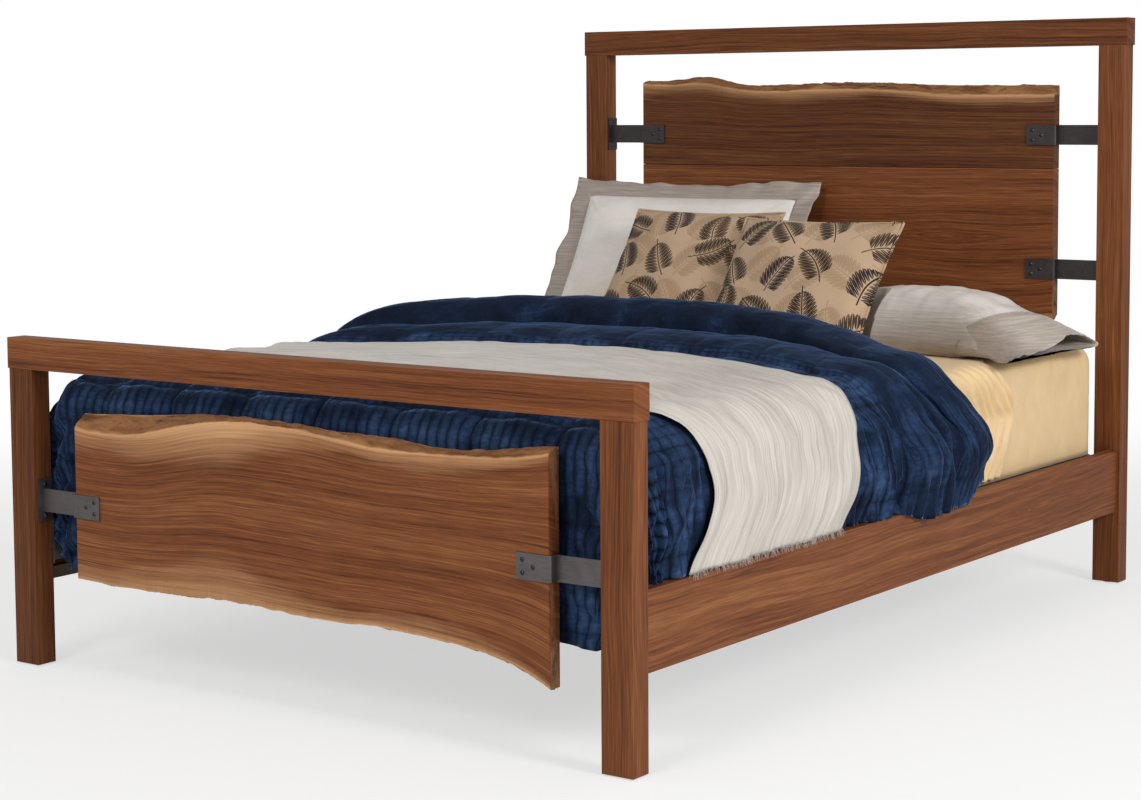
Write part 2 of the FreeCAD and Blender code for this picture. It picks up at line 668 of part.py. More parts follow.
def centre_beam():
    half = beam_half_length()
    beam = block((-BEAM_WIDTH / 2, -half, BEAM_BOTTOM), (BEAM_WIDTH / 2, half, SLAT_BOTTOM))
    for y in leg_places():
        beam = beam.cut(rod(LEG_TENON_RADIUS, LEG_TENON_LENGTH + FIT_GAP, at(0, y, BEAM_BOTTOM), Z_AXIS))
    for y in slat_places():
        if abs(y) < half:
            place = at(0, y, SLAT_TOP)
            beam = beam.cut(screw_hole(FLAT_SHANK_RADIUS, SLAT_SCREW_LENGTH, place, -Z_AXIS))
    return beam


def centre_leg(y):
    """Leg with a round tenon above and a counterbored hole for its insert and stud below."""
    half = LEG_WIDTH / 2
    leg = eased(block((-half, y - half, LEG_BOTTOM), (half, y + half, BEAM_BOTTOM)), Z_AXIS)
    leg = leg.fuse(rod(LEG_TENON_RADIUS - FIT_GAP, LEG_TENON_LENGTH, at(0, y, BEAM_BOTTOM), Z_AXIS))
    bottom = at(0, y, LEG_BOTTOM)
    leg = leg.cut(rod(INSERT_FLANGE_RADIUS + FIT_GAP, INSERT_FLANGE_HEIGHT, bottom, Z_AXIS))
    leg = leg.cut(rod(INSERT_RADIUS + FIT_GAP, INSERT_LENGTH, bottom, Z_AXIS))
    stud_room = GLIDE_STUD_LENGTH + GLIDE_PAD_HEIGHT
    return leg.cut(rod(GLIDE_STUD_RADIUS + GLIDE_STUD_GAP, stud_room, bottom, Z_AXIS))


def leg_inserts():
    inserts = []
    for y in leg_places():
        bottom = at(0, y, LEG_BOTTOM)
        insert = rod(INSERT_FLANGE_RADIUS, INSERT_FLANGE_HEIGHT, bottom, Z_AXIS)
        insert = insert.fuse(rod(INSERT_RADIUS, INSERT_LENGTH, bottom, Z_AXIS)).removeSplitter()
        inserts.append(insert.cut(rod(GLIDE_STUD_RADIUS + FIT_GAP, INSERT_LENGTH, bottom, Z_AXIS)))
    return group(inserts)


def levelling_glide(y):
    """Round pad on a threaded stud that winds out of the leg."""
    pad = rod(GLIDE_PAD_RADIUS, GLIDE_PAD_HEIGHT, at(0, y, 0), Z_AXIS)
    rim = [edge for edge in pad.Edges if not isinstance(edge.Curve, Part.Line) and edge.CenterOfMass.z > 0]
    pad = pad.makeFillet(EDGE_EASE, rim)
    stud = rod(GLIDE_STUD_RADIUS, GLIDE_STUD_LENGTH, at(0, y, GLIDE_PAD_HEIGHT), Z_AXIS)
    return pad.fuse(stud).removeSplitter()


# Foundation, mattress and sheets
def soft_block(half_x, half_y, bottom, top, radius):
    """Block with every upright and upper edge rounded."""
    shape = block((-half_x, -half_y, bottom), (half_x, half_y, top))
    rounded = [edge for edge in shape.Edges if edge.BoundBox.ZMax > bottom + radius]
    return shape.makeFillet(radius, rounded)


def mattress_envelope(growth, bottom=MATTRESS_BOTTOM):
    """The outside of the made mattress, grown on every side but the bottom."""
    return soft_block(HALF_MATTRESS + growth, HALF_MATTRESS_LENGTH + growth, bottom, MATTRESS_TOP + growth,
                      MATTRESS_EDGE_RADIUS + growth)


def foundation():
    return soft_block(HALF_MATTRESS, HALF_MATTRESS_LENGTH, SLAT_TOP, MATTRESS_BOTTOM, FOUNDATION_EDGE_RADIUS)


def mattress():
    return mattress_envelope(-SHEET_THICKNESS - SOFT_GAP)


def fitted_sheet():
    """Thin cover over the top and sides of the mattress."""
    return mattress_envelope(0).cut(mattress_envelope(-SHEET_THICKNESS, MATTRESS_BOTTOM - OVERRUN))


def sheet_hem():
    return RAIL_TOP + QUILT_REST_GAP


def top_sheet():
    """Flat sheet over the mattress, with upright folds where its head end hangs at the sides."""
    outside = mattress_envelope(SOFT_GAP + TOP_SHEET_THICKNESS, sheet_hem())
    inside = mattress_envelope(SOFT_GAP, MATTRESS_BOTTOM)
    reach = HALF_MATTRESS + QUILT_SIDE_BULGE + OVERRUN
    keep = block((-reach, -HALF_MATTRESS_LENGTH - OVERRUN - TOP_SHEET_THICKNESS, MATTRESS_BOTTOM),
                 (reach, TOP_SHEET_HEAD, MATTRESS_TOP + OVERRUN))
    sheet = outside.cut(inside).common(keep)
    x = HALF_MATTRESS + SOFT_GAP + TOP_SHEET_THICKNESS
    height = MATTRESS_TOP - MATTRESS_EDGE_RADIUS - sheet_hem()
    for side in (-1, 1):
        for fold in range(TOP_SHEET_FOLDS):
            y = TOP_SHEET_HEAD - TOP_SHEET_FOLD_PITCH / 2 - TOP_SHEET_FOLD_PITCH * fold
            crest = rod(TOP_SHEET_FOLD, height, at(side * x, y, sheet_hem()), Z_AXIS)
            sheet = sheet.fuse(crest.cut(inside))
    return sheet.removeSplitter()


# Quilt and throw
def quilt_inner_growth():
    return SOFT_GAP + TOP_SHEET_THICKNESS + SOFT_GAP


def drape_outline(y, lift, swell, growth=0):
    """Closed outline across the bed: hems, bulging sides, round shoulders and a crowned top."""
    hem = sheet_hem()
    tuck = HALF_MATTRESS + quilt_inner_growth() + QUILT_TUCK_THICKNESS + growth + swell / 2
    side = HALF_MATTRESS + QUILT_SIDE_BULGE + growth + swell / 2
    bulge = side + swell / 2
    top = MATTRESS_TOP + quilt_inner_growth() + QUILT_TOP_THICKNESS + growth + lift
    radius = QUILT_SHOULDER + lift
    shoulder = top - radius
    middle = (hem + shoulder) / 2
    corner = radius * (1 - math.cos(math.pi / 4))
    crown = top + QUILT_CROWN + lift * FOLD_CROWN_SHARE
    right = [at(tuck, y, hem), at(bulge, y, middle), at(side, y, shoulder)]
    turn = [at(side, y, shoulder), at(side - corner, y, top - corner), at(side - radius, y, top)]
    over = [at(side - radius, y, top), at(0, y, crown), at(radius - side, y, top)]
    arcs = [Part.Arc(*right), Part.Arc(*turn), Part.Arc(*over)]
    for path in (turn, right):
        arcs.append(Part.Arc(*[at(-p.x, p.y, p.z) for p in reversed(path)]))
    edges = [arc.toShape() for arc in arcs]
    edges.append(Part.makeLine(at(-tuck, y, hem), at(tuck, y, hem)))
    return Part.Wire(edges)


def quilt_foot_face():
    """Where the outside of the quilt's hanging foot end lies."""
    return -HALF_MATTRESS_LENGTH - quilt_inner_growth() - QUILT_FOOT_THICKNESS


def quilt():
    start = quilt_foot_face() + QUILT_FOOT_THICKNESS
    fold_start = QUILT_HEAD - FOLD_LENGTH
    stations = [(start, 0, 0)] + [(fold_start + FOLD_LENGTH * a, FOLD_HEIGHT * b, FOLD_SIDE * c)
                                  for a, b, c in FOLD_SHARES]
    body = Part.makeLoft([drape_outline(y, lift, swell) for y, lift, swell in stations], True, True)
    inside = mattress_envelope(quilt_inner_growth(), SLAT_BOTTOM)
    return body.fuse(quilt_foot()).cut(inside).removeSplitter()


def quilt_foot():
    """Foot end: quilted panels that hang behind the posts, rounded over the mattress end."""
    outer = quilt_foot_face()
    inner = outer + QUILT_FOOT_THICKNESS
    half = HALF_MATTRESS + QUILT_TUCK_THICKNESS
    top = MATTRESS_TOP + quilt_inner_growth() + QUILT_TOP_THICKNESS
    wall = block((-half, outer, QUILT_FOOT_HEM), (half, inner + MATTRESS_EDGE_RADIUS, top))
    across = [edge for edge in edges_along(wall, X_AXIS) if edge.Vertexes[0].Point.z > QUILT_FOOT_HEM
              and edge.Vertexes[0].Point.y < inner]
    wall = wall.makeFillet(QUILT_FOOT_ROUND, across)
    wall = wall.cut(block((-half, inner, QUILT_FOOT_HEM - OVERRUN),
                          (half, inner + MATTRESS_EDGE_RADIUS + OVERRUN, sheet_hem())))
    grooves = int(half // QUILT_PANEL_WIDTH)
    for i in range(-grooves, grooves + 1):
        wall = wall.cut(rod(QUILT_GROOVE, top, at(QUILT_PANEL_WIDTH * i, outer, 0), Z_AXIS))
    return wall


def throw():
    """Thin cover over the quilt, cut to a band whose edges bow towards the head."""
    start = quilt_foot_face() + QUILT_FOOT_THICKNESS
    end = QUILT_HEAD - FOLD_LENGTH
    outer = SOFT_GAP + THROW_THICKNESS
    outside = Part.makeLoft([drape_outline(y, 0, 0, outer) for y in (start, end)], True, True)
    past = (start - OVERRUN, end + OVERRUN)
    inside = Part.makeLoft([drape_outline(y, 0, 0, SOFT_GAP) for y in past], True, True)
    reach = HALF_WIDTH
    near = [at(reach * a, THROW_SIDE_START + THROW_SKEW * b, 0) for a, b in THROW_EDGE_SHARES]
    far = [point + Y_AXIS * THROW_WIDTH for point in near]
    outline = Part.Wire([smooth_edge(near), Part.makeLine(near[-1], far[-1]), smooth_edge(far),
                         Part.makeLine(far[0], near[0])])
    band = Part.Face(outline).extrude(Z_AXIS * HEAD_HEIGHT)
    return outside.cut(inside).common(band)


# Cushions and pillows
def cushion_outline(half_x, half_y, z):
    """Four corners joined by arcs that draw in between them."""
    draw = DRAW_IN_SHARE * half_y
    side = half_x - draw
    end = half_y - draw
    corners = [at(half_x, half_y, z), at(-half_x, half_y, z), at(-half_x, -half_y, z), at(half_x, -half_y, z)]
    middles = [at(0, end, z), at(-side, 0, z), at(0, -end, z), at(side, 0, z)]
    edges = []
    for i, middle in enumerate(middles):
        edges.append(Part.Arc(corners[i], middle, corners[(i + 1) % len(corners)]).toShape())
    return Part.Wire(edges)


def cushion(width, height, thickness):
    """Crowned cushion, fullest in the middle, with its seam at mid thickness."""
    levels = [cushion_outline(width / 2 * b, height / 2 * b, thickness / 2 * a) for a, b in CUSHION_SHARES]
    return Part.makeLoft(levels, True, False)


def flange(half_x, half_y):
    outline = cushion_outline(half_x, half_y, -FLANGE_THICKNESS / 2)
    return Part.Face(outline).extrude(Z_AXIS * FLANGE_THICKNESS)


def leaned(shape, lean, offset, setback, rise):
    """Tip a cushion up from lying flat and put its middle in place."""
    shape = shape.copy()
    shape.rotate(at(0, 0, 0), X_AXIS, lean)
    shape.translate(at(offset, HALF_MATTRESS_LENGTH - setback, MATTRESS_TOP + rise))
    return shape


def rested(shape, growth):
    """Flatten the underside of a cushion where it rests on the made mattress."""
    reach = shape.BoundBox.DiagonalLength
    level = MATTRESS_TOP + growth
    middle = shape.BoundBox.Center
    low = (middle.x - reach, middle.y - reach, level - reach)
    high = (middle.x + reach, middle.y + reach, level)
    return shape.cut(block(low, high))


def scatter_cushion(offset, setback, rise, growth=0):
    """Square cushion leaning back; growth gives the room that it takes."""
    shape = cushion(CUSHION_WIDTH + 2 * growth, CUSHION_HEIGHT + 2 * growth, CUSHION_THICKNESS + 2 * growth)
    return rested(leaned(shape, CUSHION_LEAN, offset, setback, rise), quilt_inner_growth() - growth)


def left_cushion():
    return scatter_cushion(LEFT_CUSHION_OFFSET, LEFT_CUSHION_SETBACK, LEFT_CUSHION_RISE)


def right_cushion(growth=0):
    return scatter_cushion(RIGHT_CUSHION_OFFSET, RIGHT_CUSHION_SETBACK, RIGHT_CUSHION_RISE, growth)


def sham():
    body = cushion(SHAM_WIDTH - 2 * SHAM_FLANGE, SHAM_HEIGHT - 2 * SHAM_FLANGE, SHAM_THICKNESS)
    body = body.fuse(flange(SHAM_WIDTH / 2, SHAM_HEIGHT / 2))
    return rested(leaned(body, SHAM_LEAN, SHAM_OFFSET, SHAM_SETBACK, SHAM_RISE), SOFT_GAP)


def lying_pillow():
    """Sleeping pillow in a case with an open end, lying flat and pressed in by the cushion beside it."""
    body = cushion(PILLOW_WIDTH - PILLOW_FLANGE, PILLOW_HEIGHT, PILLOW_THICKNESS)
    body.translate(at(-PILLOW_FLANGE / 2, 0, 0))
    shape = body.fuse(flange(PILLOW_WIDTH / 2, PILLOW_HEIGHT / 2))
    shape.rotate(at(0, 0, 0), Z_AXIS, PILLOW_TURN)
    middle = MATTRESS_TOP + PILLOW_THICKNESS / 2 - PILLOW_SINK
    shape.translate(at(PILLOW_OFFSET, HALF_MATTRESS_LENGTH - PILLOW_SETBACK, middle))
    return rested(shape, quilt_inner_growth()).cut(right_cushion(SOFT_GAP))


def build():
    os.makedirs("parts", exist_ok=True)
    for side in (-1, 1):
        name = side_name(side)
        export("foot_post_" + name, post(side, FOOT_FRONT, FOOT_HEIGHT))
        export("head_post_" + name, post(side, HEAD_FRONT, HEAD_HEIGHT))
        export("foot_bracket_" + name, strap(side, FOOT_FRONT, FOOT_STRAP_LEVEL))
        export("head_bracket_" + name + "_lower", strap(side, HEAD_FRONT, HEAD_STRAP_LOW_LEVEL))
        export("head_bracket_" + name + "_upper", strap(side, HEAD_FRONT, HEAD_STRAP_HIGH_LEVEL))
        export("side_rail_" + name, side_rail(side))
        export("slat_cleat_" + name, slat_cleat(side))
        for end, place in ((-1, "foot"), (1, "head")):
            export("post_receiver_" + place + "_" + name, receiver_plate(side, end))
            export("rail_hook_" + place + "_" + name, hook_plate(side, end))
    export("foot_top_rail", top_rail(FOOT_FRONT, FOOT_HEIGHT))
    export("head_top_rail", top_rail(HEAD_FRONT, HEAD_HEIGHT))
    export("foot_panel_slab", foot_panel())
    export("head_panel_upper_board", head_upper_board())
    export("head_panel_lower_board", head_lower_board())
    export("foot_bracket_screws", strap_screws(FOOT_FRONT))
    export("head_bracket_screws", strap_screws(HEAD_FRONT))
    export("rail_joint_screws", rail_joint_screws())
    export("cleat_screws", cleat_screws())
    export("slat_screws", slat_screws())
    export("post_glides", post_glides())
    for i, y in enumerate(slat_places()):
        export("slat_%d" % (i + 1), slat(y))
    export("centre_beam", centre_beam())
    export("leg_inserts", leg_inserts())
    for name, y in zip(("foot", "middle", "head"), leg_places()):
        export("centre_leg_" + name, centre_leg(y))
        export("levelling_glide_" + name, levelling_glide(y))
    export("foundation", foundation())
    export("mattress", mattress())
    export("fitted_sheet", fitted_sheet())
    export("top_sheet", top_sheet())
    export("quilt", quilt())
    export("throw", throw())
    export("sham", sham())
    export("cushion_left", left_cushion())
    export("cushion_right", right_cushion())
    export("lying_pillow", lying_pillow())


build()
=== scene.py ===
import math

import bmesh
import bpy
import numpy as np
from mathutils import Matrix, Vector


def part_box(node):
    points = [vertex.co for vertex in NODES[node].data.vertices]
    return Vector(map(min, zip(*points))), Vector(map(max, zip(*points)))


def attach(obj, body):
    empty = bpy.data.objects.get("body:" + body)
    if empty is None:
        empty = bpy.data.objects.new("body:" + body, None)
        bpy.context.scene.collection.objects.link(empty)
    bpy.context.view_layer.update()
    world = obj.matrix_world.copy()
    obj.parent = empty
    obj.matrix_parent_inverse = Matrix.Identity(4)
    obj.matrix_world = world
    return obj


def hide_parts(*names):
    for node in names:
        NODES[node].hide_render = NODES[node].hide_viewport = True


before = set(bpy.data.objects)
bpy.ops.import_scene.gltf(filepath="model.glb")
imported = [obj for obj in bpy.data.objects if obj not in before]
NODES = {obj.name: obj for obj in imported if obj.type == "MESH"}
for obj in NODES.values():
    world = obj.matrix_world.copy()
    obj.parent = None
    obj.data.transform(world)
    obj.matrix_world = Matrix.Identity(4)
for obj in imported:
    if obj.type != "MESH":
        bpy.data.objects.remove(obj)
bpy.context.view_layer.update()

bl_info = {
    "name": "Live edge bed",
    "version": (1, 0, 0),
    "blender": (4, 5, 0),
    "location": "View3D > Sidebar > Bed",
    "description": "Walnut bed with live edge panels, steel straps and a made bed on top",
    "category": "Object",
}

BODY = "frame"

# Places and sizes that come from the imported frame, in metres
SHEET_LOW, SHEET_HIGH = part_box("fitted_sheet")
QUILT_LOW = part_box("quilt")[0]
MATTRESS_TOP = SHEET_HIGH[2]
HALF_SHEET = SHEET_HIGH[0]
HALF_SHEET_LENGTH = SHEET_HIGH[1]
TOP_SHEET_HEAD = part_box("top_sheet")[1][1]
RAIL_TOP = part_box("side_rail_right")[1][2]
FOOT_FACE = QUILT_LOW[1]
FOOT_HEM = QUILT_LOW[2]

# Camera, solved from the corners of the frame
CAMERA_PLACE = (3.19863, -4.57288, 1.20486)
CAMERA_YAW = -0.62695
CAMERA_PITCH = -0.08503
CAMERA_ROLL = -0.00614
CAMERA_LENS = 75.93
CAMERA_SHIFT_DOWN = -0.0789


def length_setting(label, default, text, least=0.0):
    return bpy.props.FloatProperty(name=label, description=text, default=default, min=least, unit="LENGTH")


def colour_setting(label, default, text):
    return bpy.props.FloatVectorProperty(name=label, description=text, default=default, subtype="COLOR")


class BeddingSizes(bpy.types.PropertyGroup):
    """Sizes of the soft pieces."""
    cloth_step: length_setting("Cloth step", 0.0078, "Distance between the points of a cloth's mesh", 0.004)
    quilt_square: length_setting("Quilt square", 0.199, "Side of the quilt's large squares")
    quilt_channel: length_setting("Quilt channel", 0.0249, "Pitch of the quilt's narrow channels")
    quilt_loft: length_setting("Quilt loft", 0.007, "How far a square stands above its seams")
    roll_height: length_setting("Roll height", 0.092, "Height of the quilt's folded head end above its top")
    throw_width: length_setting("Throw width", 0.61, "Width of the throw along the bed")
    pillow_voxel: length_setting("Pillow voxel", 0.006, "Size of the voxels that remesh the pillows", 0.003)
    puff_limit: length_setting("Puff limit", 0.016, "How far a point of a pillow may swell")


class BedColours(bpy.types.PropertyGroup):
    """Colours of the finishes."""
    walnut: colour_setting("Walnut", (0.205, 0.064, 0.020), "Middle tone of the walnut")
    walnut_dark: colour_setting("Dark walnut", (0.082, 0.024, 0.0085), "Late growth of the walnut")
    walnut_light: colour_setting("Light walnut", (0.330, 0.130, 0.046), "Pale streaks of the walnut")
    sapwood: colour_setting("Sapwood", (0.500, 0.268, 0.125), "Pale wood beside the live edges")
    bark: colour_setting("Bark line", (0.045, 0.024, 0.014), "Dark patches on the live edges")
    steel: colour_setting("Strap steel", (0.140, 0.124, 0.126), "Blackened steel of the straps")
    velvet: colour_setting("Velvet", (0.0080, 0.0172, 0.0425), "Navy velvet of the quilt")
    silk: colour_setting("Silk", (0.580, 0.535, 0.480), "Silver grey of the throw")
    sheet: colour_setting("Sheet", (0.780, 0.560, 0.300), "Cream of the sheets")
    satin: colour_setting("Pillow satin", (0.480, 0.455, 0.425), "Grey of the sham and the lying pillow")
    print_ground: colour_setting("Print ground", (0.520, 0.365, 0.240), "Tan ground of the printed cushions")


class BedSettings(bpy.types.PropertyGroup):
    """Everything that a user of this file may change."""
    sizes: bpy.props.PointerProperty(type=BeddingSizes)
    colours: bpy.props.PointerProperty(type=BedColours)


def sizes():
    return bpy.context.scene.live_edge_bed.sizes


def colours():
    return bpy.context.scene.live_edge_bed.colours


# Shapes of numbers
def smooth(low, high, x):
    """0 below low, 1 above high, eased between."""
    t = np.clip((x - low) / (high - low), 0, 1)
    return t * t * (3 - 2 * t)


def mix(a, b, t):
    return a + (b - a) * t


def ripple(points, length, seed, octaves=2):
    """Smooth random waves of about that length, from minus one to one."""
    draw = np.random.default_rng(seed)
    total = np.zeros(points.shape[:-1])
    for octave in range(octaves):
        waves = np.zeros(points.shape[:-1])
        for wave in range(9):
            way = draw.normal(size=points.shape[-1])
            way *= 2 * math.pi / (length * np.linalg.norm(way) * draw.uniform(0.7, 1.5))
            waves += np.sin(points @ way + draw.uniform(0, 2 * math.pi))
        total += waves / 4.5 / 2 ** octave
        length /= 2.1
    return np.clip(total, -1.6, 1.6)


def stacked(*parts):
    return np.stack(parts, axis=-1)


def grid_normals(grid):
    """Unit normals of a grid of points, by its rows and columns."""
    along = np.gradient(grid, axis=0)
    across = np.gradient(grid, axis=1)
    normal = np.cross(along, across)
    size = np.linalg.norm(normal, axis=-1, keepdims=True)
    return normal / np.maximum(size, 1e-9)


# Meshes
def linked(name, data):
    """An object in the scene that holds a mesh, a lamp or a camera."""
    thing = bpy.data.objects.new(name, data)
    bpy.context.scene.collection.objects.link(thing)
    return thing


def new_piece(name, points, faces, material, smooth_faces=True):
    mesh = bpy.data.meshes.new(name)
    mesh.from_pydata([tuple(p) for p in points], [], [tuple(f) for f in faces])
    mesh.validate()
    mesh.materials.append(material)
    if smooth_faces:
        mesh.shade_smooth()
    return linked(name, mesh)


def outward(piece, merge=False):
    """Faces of a closed mesh turned outwards, with its UV map kept."""
    work = bmesh.new()
    work.from_mesh(piece.data)
    if merge:
        bmesh.ops.remove_doubles(work, verts=work.verts, dist=1e-6)
    bmesh.ops.recalc_face_normals(work, faces=work.faces)
    if work.calc_volume(signed=True) < 0:
        bmesh.ops.reverse_faces(work, faces=work.faces)
    work.to_mesh(piece.data)
    work.free()
    return piece


def mark_points(piece, label, values):
    """A number for each point of a piece, which its material reads."""
    mark = piece.data.attributes.new(label, "FLOAT", "POINT")
    mark.data.foreach_set("value", np.asarray(values, dtype=np.float32))


def grid_quads(index):
    """Faces between the rows and columns of a grid of point numbers."""
    return stacked(index[:-1, :-1], index[1:, :-1], index[1:, 1:], index[:-1, 1:]).reshape(-1, 4)


def tube_faces(order, count):
    """Faces of a closed tube, whose rings of so many points follow one another in an order."""
    faces = []
    for here, there in zip(order, [*order[1:], order[0]]):
        for i in range(count):
            j = (i + 1) % count
            faces.append((here * count + i, here * count + j, there * count + j, there * count + i))
    return faces


def shell(name, outer, inner, fabric, material, **marks):
    """Closed cloth between two grids of points, with the flat cloth's place as its UV map."""
    rows, columns = outer.shape[:2]
    count = rows * columns
    index = np.arange(count).reshape(rows, columns)
    quads = grid_quads(index)
    rim = np.concatenate([index[0, :], index[1:, -1], index[-1, -2::-1], index[-2:0:-1, 0]])
    rim_next = np.roll(rim, -1)
    edge = stacked(rim, rim_next, rim_next + count, rim + count)
    points = np.concatenate([outer.reshape(-1, 3), inner.reshape(-1, 3)])
    piece = new_piece(name, points, np.concatenate([quads, quads[:, ::-1] + count, edge]), material)
    place = np.tile(fabric.reshape(-1, 2), (2, 1))
    layer = piece.data.uv_layers.new(name="fabric")
    corners = np.empty(len(piece.data.loops), dtype=np.int32)
    piece.data.loops.foreach_get("vertex_index", corners)
    layer.data.foreach_set("uv", place[corners].astype(np.float32).ravel())
    for label, values in marks.items():
        mark_points(piece, label, np.tile(values.ravel(), 2))
    return outward(piece)


def finish_piece(piece, slot, *nodes):
    """Ride on the frame and stand for the CAD nodes, which are hidden; the slot is not used."""
    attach(piece, BODY)
    if nodes:
        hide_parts(*nodes)
    return piece


# Materials
def arithmetic(operation):
    """Two methods for one operation, with the value first and with it second."""
    return (lambda self, other: self.nodes.math(operation, self, other),
            lambda self, other: self.nodes.math(operation, other, self))


class Value:
    """A node's output, which takes part in plain arithmetic."""

    def __init__(self, nodes, socket):
        self.nodes = nodes
        self.socket = socket

    __add__, __radd__ = arithmetic("ADD")
    __sub__, __rsub__ = arithmetic("SUBTRACT")
    __mul__, __rmul__ = arithmetic("MULTIPLY")
    __truediv__, __rtruediv__ = arithmetic("DIVIDE")
    __pow__, __rpow__ = arithmetic("POWER")

    def __abs__(self):
        return self.nodes.math("ABSOLUTE", self)


class Nodes:
    """Short calls for a material's node tree."""

    def __init__(self, name):
        self.material = bpy.data.materials.new(name)
        self.material.use_nodes = True
        self.tree = self.material.node_tree
        self.shader = self.tree.nodes["Principled BSDF"]

    def link(self, value, socket):
        """Feed a socket with a node's output, a number or a colour."""
        if isinstance(value, Value):
            value = value.socket
        if isinstance(value, bpy.types.NodeSocket):
            self.tree.links.new(value, socket)
        elif socket.type == "RGBA":
            socket.default_value = (*value[:3], 1)
        else:
            socket.default_value = value

    def add(self, kind, inputs, output=0, **settings):
        """One output of a new node, whose inputs are given by number or name."""
        node = self.tree.nodes.new(kind)
        for key, value in settings.items():
            setattr(node, key, value)
        for key, value in inputs.items():
            self.link(value, node.inputs[key])
        return Value(self, node.outputs[output])

    def math(self, operation, a, b=0.0):
        return self.add("ShaderNodeMath", {0: a, 1: b}, operation=operation)

    def object_place(self):
        return self.add("ShaderNodeTexCoord", {}, "Object")

    def uv_place(self):
        return self.add("ShaderNodeUVMap", {}, uv_map="fabric")

    def attribute(self, name):
        return self.add("ShaderNodeAttribute", {}, "Fac", attribute_name=name)

    def split(self, vector):
        node = self.add("ShaderNodeSeparateXYZ", {0: vector}).socket.node
        return [Value(self, output) for output in node.outputs]

    def join(self, x, y, z):
        return self.add("ShaderNodeCombineXYZ", {0: x, 1: y, 2: z})

    def mapped(self, vector, scale=(1, 1, 1), move=(0, 0, 0), turn=(0, 0, 0)):
        return self.add("ShaderNodeMapping", {"Vector": vector, "Scale": scale, "Location": move,
                                              "Rotation": turn})

    def noise(self, vector, detail=2.0, roughness=0.5, distortion=0.0, scale=1.0):
        return self.add("ShaderNodeTexNoise", {"Vector": vector, "Scale": scale, "Detail": detail,
                                               "Roughness": roughness, "Distortion": distortion}, "Fac")

    def stretched(self, vector, scale, *settings):
        """Noise drawn out along some of the axes."""
        return self.noise(self.mapped(vector, scale), *settings)

    def ramp(self, value, stops, ease="LINEAR"):
        """Colours or greys along a value; stops are (place, colour)."""
        result = self.add("ShaderNodeValToRGB", {0: value})
        ramp = result.socket.node.color_ramp
        ramp.interpolation = ease
        while len(ramp.elements) < len(stops):
            ramp.elements.new(0.5)
        for element, (place, colour) in zip(ramp.elements, stops):
            element.position = place
            shade = (colour, colour, colour) if isinstance(colour, (int, float)) else colour
            element.color = (*shade[:3], 1)
        return result

    def shades(self, value, colour, *stops):
        """Tints of one colour along a value; stops are (place, amount)."""
        return self.ramp(value, [(place, tinted(colour, amount)) for place, amount in stops])

    def blend(self, share, a, b):
        return self.add("ShaderNodeMix", {0: share, 6: a, 7: b}, 2, data_type="RGBA")

    def finish(self, colour, roughness, height=None, strength=0.3, depth=0.001, **constants):
        inputs = self.shader.inputs
        self.link(colour, inputs["Base Color"])
        self.link(roughness, inputs["Roughness"])
        if height is not None:
            bump = self.add("ShaderNodeBump", {"Strength": strength, "Distance": depth, "Height": height})
            self.link(bump, inputs["Normal"])
        for key, value in constants.items():
            inputs[key.replace("_", " ").title().replace("Ior", "IOR")].default_value = value
        return self.material


def tinted(colour, amount):
    """The colour made lighter or darker by an amount."""
    return tuple(min(1.0, c * amount) for c in colour[:3])


def wood_figure(n, along, up, through, seed, arches=None, wave=0.06):
    """Streaks, fine fibres and thin dark lines of the grain, each from 0 to 1."""
    def grain(length_scale, height, height_scale, offset, *settings):
        return n.noise(n.join(along * length_scale, height * height_scale, seed + offset), *settings)

    level = up + (grain(1.1, up, 2.4, 0) - 0.5) * wave + (grain(3.6, up, 9.0, 3.1) - 0.5) * (wave * 0.22)
    if arches:
        middle, height, squeeze = arches
        away = along - middle
        away = away / n.math("SQRT", 1.0 + away * away * 50.0) * squeeze
        rise = level - height
        level = n.math("SQRT", away * away + rise * rise + 0.00002)
    level = level + through * 0.45
    broad = grain(0.55, level, 15.0, 1)
    fine = grain(1.0, level, 72.0, 2, 4.0, 0.62) * 0.44 + grain(2.2, level, 230.0, 3, 3.0, 0.6) * 0.56
    fibre = n.noise(n.join(along * 11.0, up * 560.0, through * 560.0), 3.0, 0.6)
    contour = abs(grain(0.42, level, 34.0, 4, 1.0) - 0.5)
    fade = n.ramp(grain(2.0, level, 20.0, 6), [(0.42, 0.0), (0.62, 1.0)])
    return broad, fine, fibre, n.ramp(contour, [(0.0, 1.0), (0.022, 0.0)], "EASE") * fade


def heart_colour(n, figure, tone, contrast=1.0):
    """Heartwood colour from the figure."""
    broad, fine, fibre, line = figure
    c = colours()
    shade = broad * 0.26 + fine * 0.74 + (fibre - 0.5) * 0.46 - line * 0.09
    half = 0.17 / contrast
    return n.ramp(shade, [(0.5 - half, tinted(c.walnut_dark, tone)), (0.5, tinted(c.walnut, tone)),
                          (0.5 + half, tinted(c.walnut_light, tone))])


def lacquered(n, colour, figure, wane=None):
    """Satin lacquer over the wood's fibres, rougher where bark was."""
    fibre, line = figure[2:]
    rough = 0.42 + fibre * 0.16
    height = fibre * 0.8 + line * -0.4
    if wane:
        height = height + wane
        rough = rough + wane * 0.06
    return n.finish(colour, rough, height, 0.20, 0.0007, specular_ior_level=0.17)


def walnut(name, grain, seed, tone=1.0, arches=None, wave=0.06):
    """Lacquered walnut with its grain along one axis."""
    n = Nodes(name)
    x, y, z = n.split(n.object_place())
    along, up, through = {"X": (x, z, y), "Y": (y, z, x), "Z": (z, x, y)}[grain]
    figure = wood_figure(n, along, up, through, seed, arches, wave)
    return lacquered(n, heart_colour(n, figure, tone), figure)


